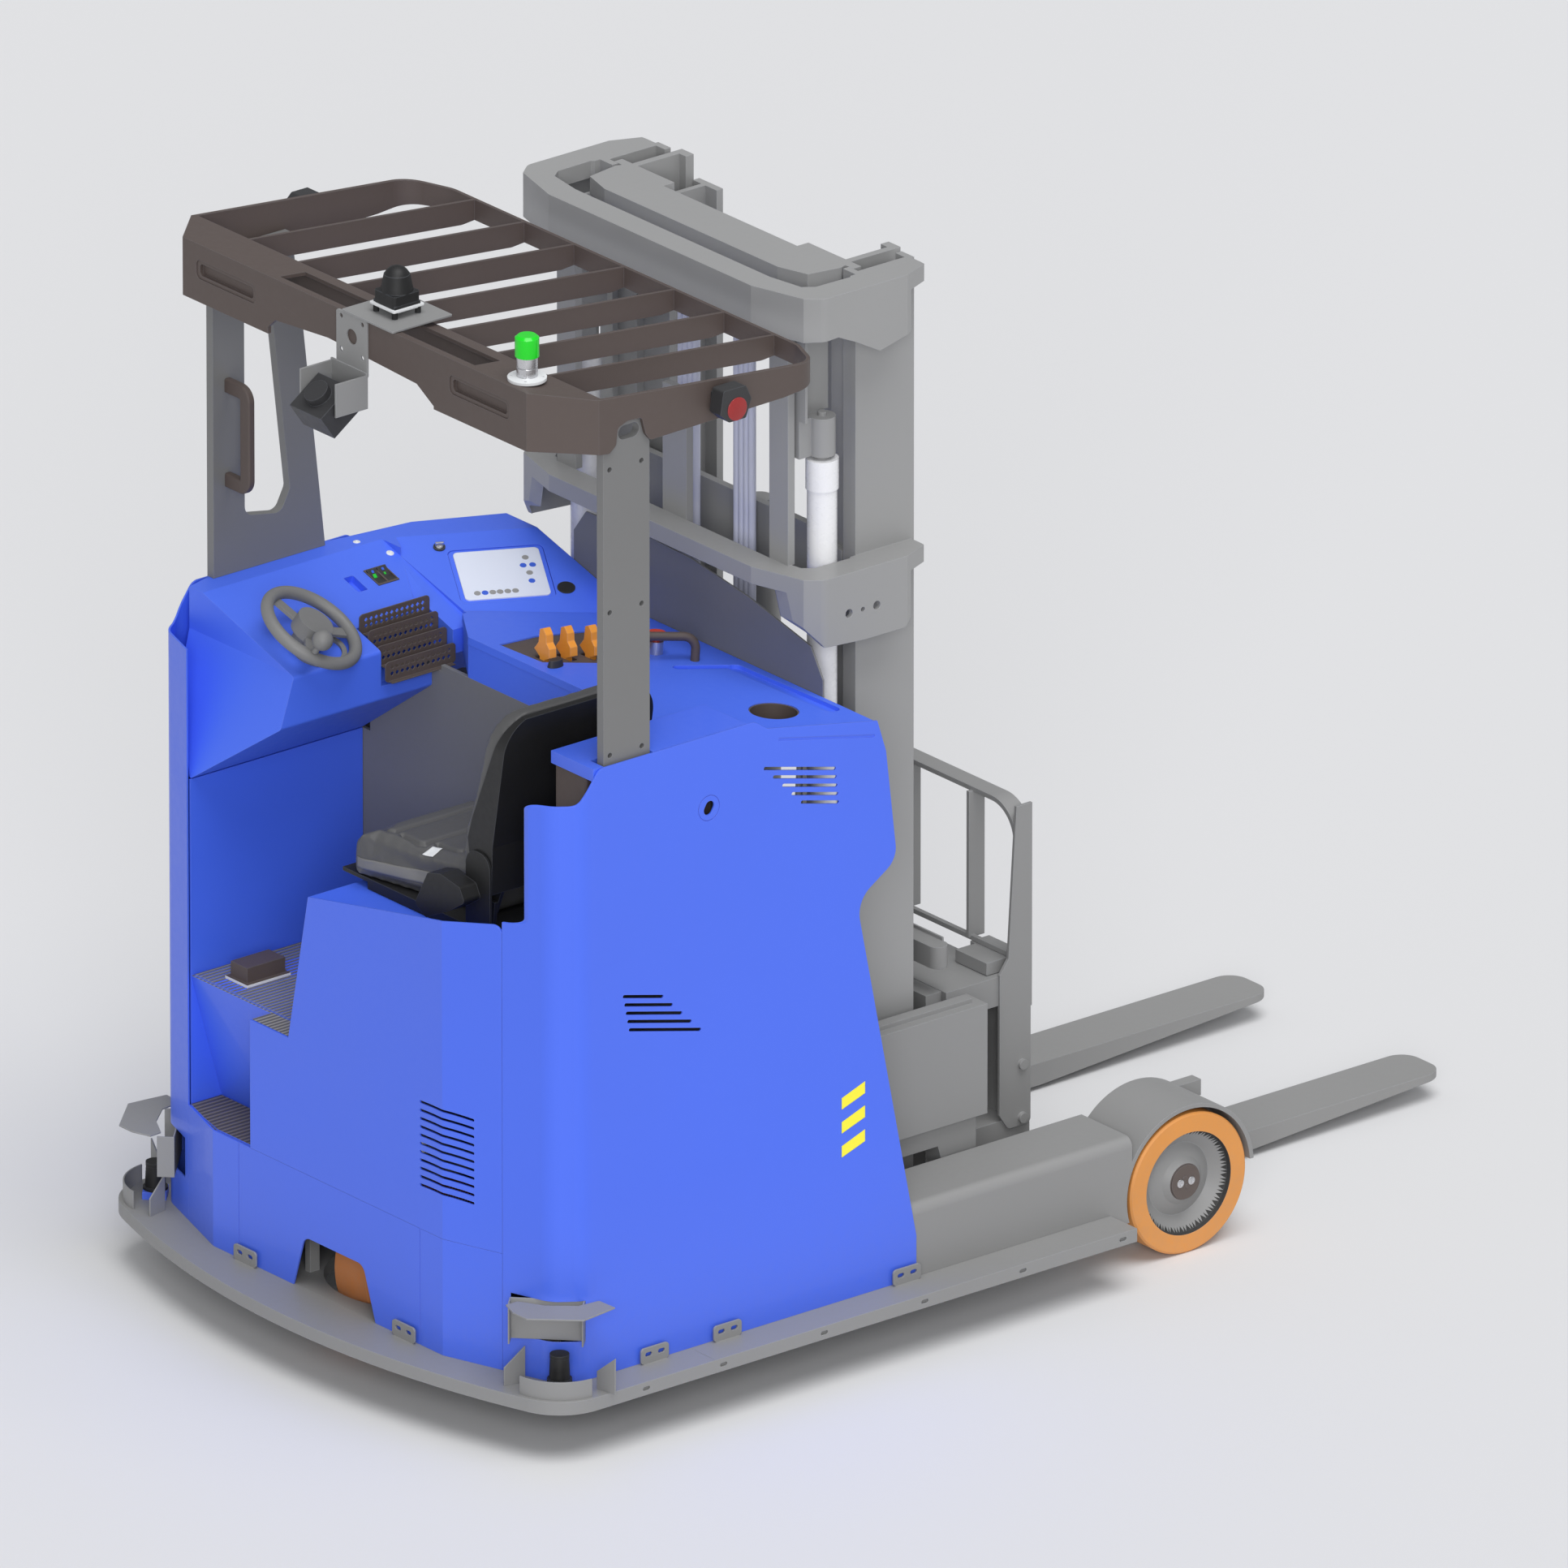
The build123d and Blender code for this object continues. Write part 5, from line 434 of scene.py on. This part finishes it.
paint("roof_sensors", grey_paint, [
    (black_plastic, lambda p, n: near_roof(p, 0.05) and p.z > roof_top + 0.0241),
    (white_plastic, lambda p, n: near_roof(p, 0.041) and p.z > roof_top + 0.0159),
    (black_rubber, lambda p, n: near_roof(p, 0.05) and p.z > roof_top + 0.0042),
])
paint("corner_sensors", grey_paint, [
    (blue_paint, lambda p, n: radius_from(p, -1.163, 0.637 if p.y > 0 else -0.637) < 0.04 and p.z < 0.1471),
    (black_plastic, lambda p, n: radius_from(p, -1.163, 0.637 if p.y > 0 else -0.637) < 0.04 and p.z < 0.21),
])
guard_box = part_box("overhead_guard")
paint("guard_lamps", brown_coating, [
    (dark_plastic, lambda p, n: abs(p.y) > guard_box[1].y - 0.002),
])

# %% Dash, console inserts and cab floor
paint("dash_fittings", grey_plastic, [
    (screen_pale, lambda p, n: facet_box(p, 158.5, -137, 86.5, 75.5, -1.9)),
    (blue_plastic, lambda p, n: facet_box(p, 158.5, -137, 96, 84, -8)),
    (black_plastic, lambda p, n: facet_box(p, 277, -195, 19, 19, -30)),
    (dark_plastic, lambda p, n: facet_box(p, 50, -41.6, 13, 13, -30)),
    (brown_coating, lambda p, n: abs(p.x + 0.718) < 0.03 and p.y > 0.43),
])
stop_at = console_plane @ Vector((0.262, -0.1, 0))
paint("console_inserts", brown_coating, [
    (steel, lambda p, n: radius_from(p, stop_at.x, stop_at.y) < 0.02),
])
mat_top = 0.655


def near_box_switch(point):
    return abs(point.x + 1.09) < 0.056 and abs(point.y - 0.4) < 0.036


def on_floor_mat(point, normal):
    return normal.z > 0.9 and mat_top - 0.012 < point.z < mat_top + 0.001 and not near_box_switch(point)


paint("cab_floor", blue_paint, [
    (mat_grey, on_floor_mat),
    (mat_step, lambda p, n: n.z > 0.9 and 0.374 < p.z < 0.384),
    (white_plastic, lambda p, n: near_box_switch(p) and mat_top - 0.001 < p.z < mat_top + 0.006),
    (brown_coating, lambda p, n: near_box_switch(p) and p.z > mat_top + 0.002),
])

# %% [markdown]
# ## Small pieces
# Marks, lenses, screws and indicator dots are small, so they are made here from a few helpers.

# %% Helpers for small pieces
def added(name, shape, used, body, bevel=0.0):
    """Turns a bmesh into a piece of one material that rides with a body."""
    bmesh.ops.recalc_face_normals(shape, faces=shape.faces)
    mesh = bpy.data.meshes.new(name)
    shape.to_mesh(mesh)
    shape.free()
    mesh.materials.append(used)
    made = bpy.data.objects.new(name, mesh)
    bpy.context.scene.collection.objects.link(made)
    if bevel:
        rounded = made.modifiers.new("rounded", "BEVEL")
        rounded.width = bevel
        rounded.segments = 2
        rounded.limit_method = "ANGLE"
    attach(made, body)
    return made


def plate(name, corners, up, thickness, used, body, bevel=0.0):
    """A thin plate on a face, from its corners in the row frame."""
    shape = bmesh.new()
    face = shape.faces.new([shape.verts.new(corner) for corner in corners])
    raised = bmesh.ops.extrude_face_region(shape, geom=[face])["geom"]
    top = [item for item in raised if isinstance(item, bmesh.types.BMVert)]
    bmesh.ops.translate(shape, verts=top, vec=up * thickness)
    return added(name, shape, used, body, bevel)


def turned_piece(name, place, axis, profile, used, body, steps=28):
    """A piece turned on an axis from a profile of (radius, height) points."""
    up = axis.normalized()
    side = up.orthogonal().normalized()
    across = up.cross(side)
    shape = bmesh.new()
    turn = [2 * math.pi * step / steps for step in range(steps)]
    spokes = [side * math.cos(angle) + across * math.sin(angle) for angle in turn]
    rings = []
    for radius, height in profile:
        center = place + up * height
        if radius < 1e-6:
            rings.append([shape.verts.new(center)])
            continue
        rings.append([shape.verts.new(center + spoke * radius) for spoke in spokes])
    for lower, upper in zip(rings, rings[1:]):
        for step in range(steps):
            corners = [
                lower[step % len(lower)],
                lower[(step + 1) % len(lower)],
                upper[(step + 1) % len(upper)],
                upper[step % len(upper)],
            ]
            unique = list(dict.fromkeys(corners))
            if len(unique) > 2:
                shape.faces.new(unique)
    made = added(name, shape, used, body)
    made.data.shade_smooth()
    made.data.set_sharp_from_angle(angle=math.radians(40))
    return made


def screw(name, place, axis, radius, used, body):
    """A low round-headed screw with a recess in its head."""
    shares = [(1.25, 0.0), (1.2, 0.18), (1.0, 0.3), (0.55, 0.34), (0.45, 0.05), (0.0, 0.02)]
    profile = [(radius * out, radius * height) for out, height in shares]
    return turned_piece(name, place, axis, profile, used, body)


# %% Hazard marks on the right panel
panel_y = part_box("right_side_panel")[0].y
mark_pitch = 0.051
mark_corners = ((-0.452, 0.562), (-0.393, 0.583), (-0.393, 0.558), (-0.452, 0.538))
for row in range(3):
    corners = [Vector((x, panel_y, z - mark_pitch * row)) for x, z in mark_corners]
    plate(f"hazard_mark_{row + 1}", corners, Vector((0, -1, 0)), 0.0006, mark_yellow, "chassis")

# %% Red lenses of the side markers
marker_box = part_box("guard_lamps")
for side, outer_y in ((-1, marker_box[0].y), (1, marker_box[1].y)):
    place = Vector((-0.752, outer_y, 2.108))
    turned_piece(f"marker_lens_{'right' if side < 0 else 'left'}", place, Vector((0, side, 0)),
                 [(0.024, -0.001), (0.024, 0.001), (0.020, 0.002), (0.0, 0.0025)], red_lens, "chassis", 36)

# %% Dots on the display
screen_center = Vector((0.1585, -0.137))
screen_size = Vector((0.172, 0.150))
facet_up = facet.to_3x3() @ Vector((0, 0, 1))
dots = [
    (0.82, 0.20, symbol_grey),
    (0.77, 0.36, symbol_blue),
    (0.88, 0.36, symbol_blue),
    (0.82, 0.52, symbol_grey),
    (0.82, 0.69, symbol_blue),
]
bottom_row = (0.155, 0.245, 0.335, 0.42, 0.51, 0.60)
for number, across in enumerate(bottom_row):
    dots.append((across, 0.87, symbol_blue if number == 1 else symbol_grey))
dot_profile = [(0.0068, 0.0), (0.0066, 0.0006), (0.0, 0.0006)]
for number, (across, down, used) in enumerate(dots, 1):
    shift = Vector(((across - 0.5) * screen_size.x, (0.5 - down) * screen_size.y))
    local = (screen_center + shift).to_3d() + Vector((0, 0, 0.0005))
    turned_piece(f"display_dot_{number}", facet @ local, facet_up, dot_profile, used, "chassis")

# %% Symbols on the rocker switches
steering_up = steering_facet.to_3x3() @ Vector((0, 0, 1))
rocker_x, rocker_y = -0.718, -0.098
for body, shift, size in (("rocker_left", -0.0126, 0.008), ("rocker_right", 0.0126, 0.0045)):
    symbols = (("green", symbol_green, 0.004, size / 2), ("blue", symbol_blue, 0.013, 0.0028))
    for color, used, along, half in symbols:
        corners = []
        for x, y in ((-1, -1), (1, -1), (1, 1), (-1, 1)):
            up_slope = along + y * half
            height = -0.003 + 0.01 * up_slope / 0.02 + 0.0003
            local = Vector((rocker_x + shift + x * half, rocker_y + up_slope, height))
            corners.append(steering_facet @ local)
        plate(f"{body}_{color}_mark", corners, steering_up, 0.0006, used, body)

# %% Screws on the dash rim and the wheel hubs
screws = [
    ("dash_screw_1", Vector((-0.690, 0.585, 1.42)), Vector((0, 0, 1)), 0.006, white_plastic),
    ("dash_screw_2", steering_facet @ Vector((-0.655, -0.045, 0)), steering_up, 0.0065, white_plastic),
]
for side, toward in (("right", -1), ("left", 1)):
    low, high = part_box(f"{side}_load_wheel")
    hub_x, hub_z = (low.x + high.x) / 2, (low.z + high.z) / 2
    for number, shift in enumerate((-0.014, 0.014), 1):
        start = Vector((hub_x + shift, toward * 1.2, hub_z))
        place = nodes[f"{side}_load_wheel"].ray_cast(start, Vector((0, -toward, 0)))[1]
        screw(f"{side}_hub_screw_{number}", place, Vector((0, toward, 0)), 0.007, steel, f"{side}_wheel")
for name, place, axis, radius, used in screws:
    screw(name, place, axis, radius, used, "chassis")

# %% [markdown]
# ## Seat cushion and backrest pad
# Both start from their CAD solids, drawn in a little so that they can swell.
# A voxel remesh gives them an even skin, and the Cloth solver blows that skin up by a small pressure.
# What rests on the seat pan is pinned, so it stays flat there; the backrest pad pins nothing and is pushed
# out in front of the shell afterwards.

# %% Swollen vinyl form
def applied(source, name):
    """A new object with the modifiers of the source applied, which then is removed."""
    graph = bpy.context.evaluated_depsgraph_get()
    mesh = bpy.data.meshes.new_from_object(source.evaluated_get(graph))
    made = bpy.data.objects.new(name, mesh)
    bpy.context.scene.collection.objects.link(made)
    bpy.data.objects.remove(source)
    return made


def inflated(name, node, voxel, inset, pinned, pressure=4.0, cap=0.009):
    """A padded skin round a CAD node; pinned says which points stay."""
    low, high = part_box(node)
    middle = (low + high) / 2
    mesh = nodes[node].data.copy()
    for vertex in mesh.vertices:
        for axis in range(3):
            half = (high[axis] - low[axis]) / 2
            share = (half - inset[axis]) / half
            vertex.co[axis] = middle[axis] + (vertex.co[axis] - middle[axis]) * share
    mesh.materials.clear()
    form = bpy.data.objects.new(name + "_form", mesh)
    bpy.context.scene.collection.objects.link(form)
    voxels = form.modifiers.new("voxels", "REMESH")
    voxels.mode = "VOXEL"
    voxels.voxel_size = voxel
    round_off = form.modifiers.new("round_off", "SMOOTH")
    round_off.factor = 0.5
    round_off.iterations = 5
    form = applied(form, name + "_skin")
    start = [vertex.co.copy() for vertex in form.data.vertices]
    group = form.vertex_groups.new(name="pinned")
    group.add([vertex.index for vertex in form.data.vertices if pinned(vertex.co)], 1.0, "REPLACE")
    cloth = form.modifiers.new("cloth", "CLOTH")
    cloth.settings.quality = 5
    cloth.settings.mass = 0.3
    cloth.settings.tension_stiffness = 12
    cloth.settings.compression_stiffness = 12
    cloth.settings.bending_stiffness = 0.6
    cloth.settings.use_pressure = True
    cloth.settings.uniform_pressure_force = pressure
    cloth.settings.vertex_group_mass = "pinned"
    cloth.settings.effector_weights.gravity = 0
    cloth.point_cache.frame_start = 1
    cloth.point_cache.frame_end = 20
    for frame_number in range(1, 21):
        bpy.context.scene.frame_set(frame_number)
    form = applied(form, name + "_swollen")
    bpy.context.scene.frame_set(1)
    for vertex, place in zip(form.data.vertices, start):
        step = vertex.co - place
        if step.length > cap:
            vertex.co = place + step.normalized() * cap
    finer = form.modifiers.new("finer", "SUBSURF")
    finer.levels = finer.render_levels = 1
    form = applied(form, name)
    print(name, len(form.data.vertices), "points")
    return form


# %% [markdown]
# Sewn channels are pressed in after the swelling, because a voxel is wider than a seam.
# A channel is a line of points; a vertex near it sinks by a depth that fades with the distance.

# %% Channels
def channel_distance(point, line):
    nearest = 1.0
    for start, end in zip(line, line[1:]):
        along = end - start
        share = max(0.0, min(1.0, (point - start).dot(along) / along.length_squared))
        nearest = min(nearest, (point - start - along * share).length)
    return nearest


def press_channels(form, lines, flat, facing, depth, width):
    """Sinks the channels; flat turns a point into the plane of the lines, facing is the side they are on."""
    for vertex in form.data.vertices:
        if vertex.normal.dot(facing) < 0.45:
            continue
        near = min(channel_distance(flat(vertex.co), line) for line in lines)
        if near < width * 3:
            vertex.co -= facing * depth * math.exp(-((near / width) ** 2))


# %% Seat cushion
low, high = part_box("seat_cushion")
pan_top = low.z
cushion = inflated("cushion", "seat_cushion", 0.006, (0.003, 0.003, 0.001), lambda p: p.z < pan_top + 0.009)
for vertex in cushion.data.vertices:
    vertex.co.z = max(vertex.co.z, pan_top + 0.0005)
middle_x = (low.x + high.x) / 2
channels = []
for front_y, rear_y, half in ((0.030, -0.008, 0.131), (-0.029, -0.086, 0.118), (-0.102, -0.165, 0.088)):
    corner = 0.012
    channels.append([
        Vector((middle_x - half, front_y)),
        Vector((middle_x - half + 0.004, rear_y + corner)),
        Vector((middle_x - half + corner, rear_y)),
        Vector((middle_x + half - corner, rear_y)),
        Vector((middle_x + half - 0.004, rear_y + corner)),
        Vector((middle_x + half, front_y)),
    ])
press_channels(cushion, channels, lambda p: Vector((p.x, p.y)), Vector((0, 0, 1)), 0.009, 0.005)
cushion.data.materials.append(seat_vinyl)
cushion.data.shade_smooth()
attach(cushion, "seat")
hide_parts("seat_cushion")

# %% Backrest pad
pad = inflated("back_pad", "backrest_pad", 0.006, (0.002, 0.001, 0.002), lambda p: False, 3.0, 0.006)
pad_low, pad_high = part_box("backrest_pad")


def shell_front(z):
    """Y of the shell's front face at a height, from the corners of its side view."""
    levels = (
        (1.1, -0.3317),
        (1.112, -0.3317),
        (1.19, -0.3197),
        (1.2341, -0.3327),
        (1.44, -0.4187),
        (1.475, -0.4317),
    )
    for (z_0, y_0), (z_1, y_1) in zip(levels, levels[1:]):
        if z <= z_1:
            return y_0 + (y_1 - y_0) * (z - z_0) / (z_1 - z_0)
    return levels[-1][1]


for vertex in pad.data.vertices:
    vertex.co.y = max(vertex.co.y, shell_front(vertex.co.z) + 0.0004)
    vertex.co.x = min(max(vertex.co.x, pad_low.x), pad_high.x)
seam_x = (pad_low.x + pad_high.x) / 2
seam_half = 0.135
border_shares = ((-1, 1.13), (-1, 1.37), (-0.8, 1.415), (0.8, 1.415), (1, 1.37), (1, 1.13))
border = [Vector((seam_x + share * seam_half, z)) for share, z in border_shares]
cross_seams = [[Vector((seam_x - seam_half, z)), Vector((seam_x + seam_half, z))] for z in (1.2, 1.28, 1.36)]
press_channels(pad, [border, *cross_seams], lambda p: Vector((p.x, p.z)), Vector((0, 1, 0)), 0.005, 0.0042)
pad.data.materials.append(seat_vinyl)
pad.data.shade_smooth()
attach(pad, "backrest")
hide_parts("backrest_pad")

# %% [markdown]
# A grey band runs along the side of the cushion, and a blank pale label lies on its corner.
# Both are strips of small faces laid on the vinyl by shooting rays at it.

# %% Strips laid on the vinyl
def laid_strip(name, target, corners, shoot, used, body, columns=48, rows=6, lift=0.0006):
    """A strip between four corners, moved along the shoot direction onto the target."""
    graph = bpy.context.evaluated_depsgraph_get()
    seen = target.evaluated_get(graph)
    back = target.matrix_world.inverted()
    shape = bmesh.new()
    grid = []
    for column in range(columns + 1):
        share = column / columns
        start = corners[0].lerp(corners[1], share)
        end = corners[3].lerp(corners[2], share)
        line = []
        for row in range(rows + 1):
            point = start.lerp(end, row / rows)
            hit, place = seen.ray_cast(back @ (point - shoot * 0.3), shoot)[:2]
            line.append(shape.verts.new((place if hit else point) - shoot * lift))
        grid.append(line)
    for left, right in zip(grid, grid[1:]):
        for row in range(rows):
            shape.faces.new((left[row], right[row], right[row + 1], left[row + 1]))
    mesh = bpy.data.meshes.new(name)
    bmesh.ops.recalc_face_normals(shape, faces=shape.faces)
    shape.to_mesh(mesh)
    shape.free()
    mesh.materials.append(used)
    mesh.shade_smooth()
    made = bpy.data.objects.new(name, mesh)
    bpy.context.scene.collection.objects.link(made)
    thick = made.modifiers.new("thick", "SOLIDIFY")
    thick.thickness = 0.0008
    thick.offset = 0
    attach(made, body)
    return made


bpy.context.view_layer.update()
band_side = ((0.048, 1.031), (-0.2, 1.047), (-0.2, 1.024), (0.048, 1.009))
band_corners = [Vector((-1.2, y, z)) for y, z in band_side]
laid_strip("cushion_band", cushion, band_corners, Vector((1, 0, 0)), seat_band, "seat")
label_plan = ((-1.078, -0.104), (-1.071, -0.128), (-1.044, -0.126), (-1.050, -0.103))
label_corners = [Vector((x, y, 1.1)) for x, y in label_plan]
laid_strip("cushion_label", cushion, label_corners, Vector((0, 0, -1)), white_plastic, "seat", 12, 12, 0.0016)

# %% [markdown]
# ## Camera
# The photo is a parallel view. A very long lens far away gives nearly the same picture.

# %% Camera
toward_camera = Vector((-0.58459, -0.71953, 0.37489))
image_up = Vector((0.2364, 0.29096, 0.92707))
image_right = Vector((0.77613, -0.63058, 0.0))
look_at = Vector((-0.0477, 0.0387, 0.9124))
camera_data = bpy.data.cameras.new("camera")
camera_data.lens = 1200
camera_data.sensor_width = 36
camera_data.clip_start = 1
camera_data.clip_end = 400
camera = bpy.data.objects.new("camera", camera_data)
bpy.context.scene.collection.objects.link(camera)
turned = Matrix((image_right, image_up, toward_camera)).transposed().to_4x4()
camera.matrix_world = Matrix.Translation(look_at + toward_camera * 3.0996 * 1200 / 36) @ turned
bpy.context.scene.camera = camera

# %% [markdown]
# ## Floor and light
# A pale floor takes the shadow.
# One soft sun from above gives the tops their light, one from the camera reaches into the cab.

# %% Floor
floor_mesh = bpy.data.meshes.new("floor")
floor_mesh.from_pydata([(-40, -40, 0), (40, -40, 0), (40, 40, 0), (-40, 40, 0)], [], [(0, 1, 2, 3)])
floor = bpy.data.objects.new("floor", floor_mesh)
bpy.context.scene.collection.objects.link(floor)
floor_material = bpy.data.materials.new("floor")
floor_material.use_nodes = True
floor_shader = floor_material.node_tree.nodes["Principled BSDF"]
floor_shader.inputs["Base Color"].default_value = (0.70, 0.70, 0.71, 1)
floor_shader.inputs["Roughness"].default_value = 0.7
floor_mesh.materials.append(floor_material)

# %% World and suns
world = bpy.data.worlds.new("studio")
bpy.context.scene.world = world
world.use_nodes = True
world.node_tree.nodes["Background"].inputs["Color"].default_value = (0.95, 0.97, 1, 1)
world.node_tree.nodes["Background"].inputs["Strength"].default_value = 0.36


def sun(name, direction, strength, softness):
    data = bpy.data.lights.new(name, "SUN")
    data.energy = strength
    data.angle = math.radians(softness)
    lamp = bpy.data.objects.new(name, data)
    lamp.rotation_mode = "QUATERNION"
    lamp.rotation_quaternion = Vector(direction).to_track_quat("Z", "Y")
    bpy.context.scene.collection.objects.link(lamp)


sun("key_sun", (-0.05, -0.3, 1.0), 2.0, 45)
sun("camera_sun", (-0.585, -0.72, 0.375), 1.25, 25)

# %% [markdown]
# ## Finish
# The view transform stays plain.

# %% Finish
bpy.context.scene.view_settings.view_transform = "Standard"
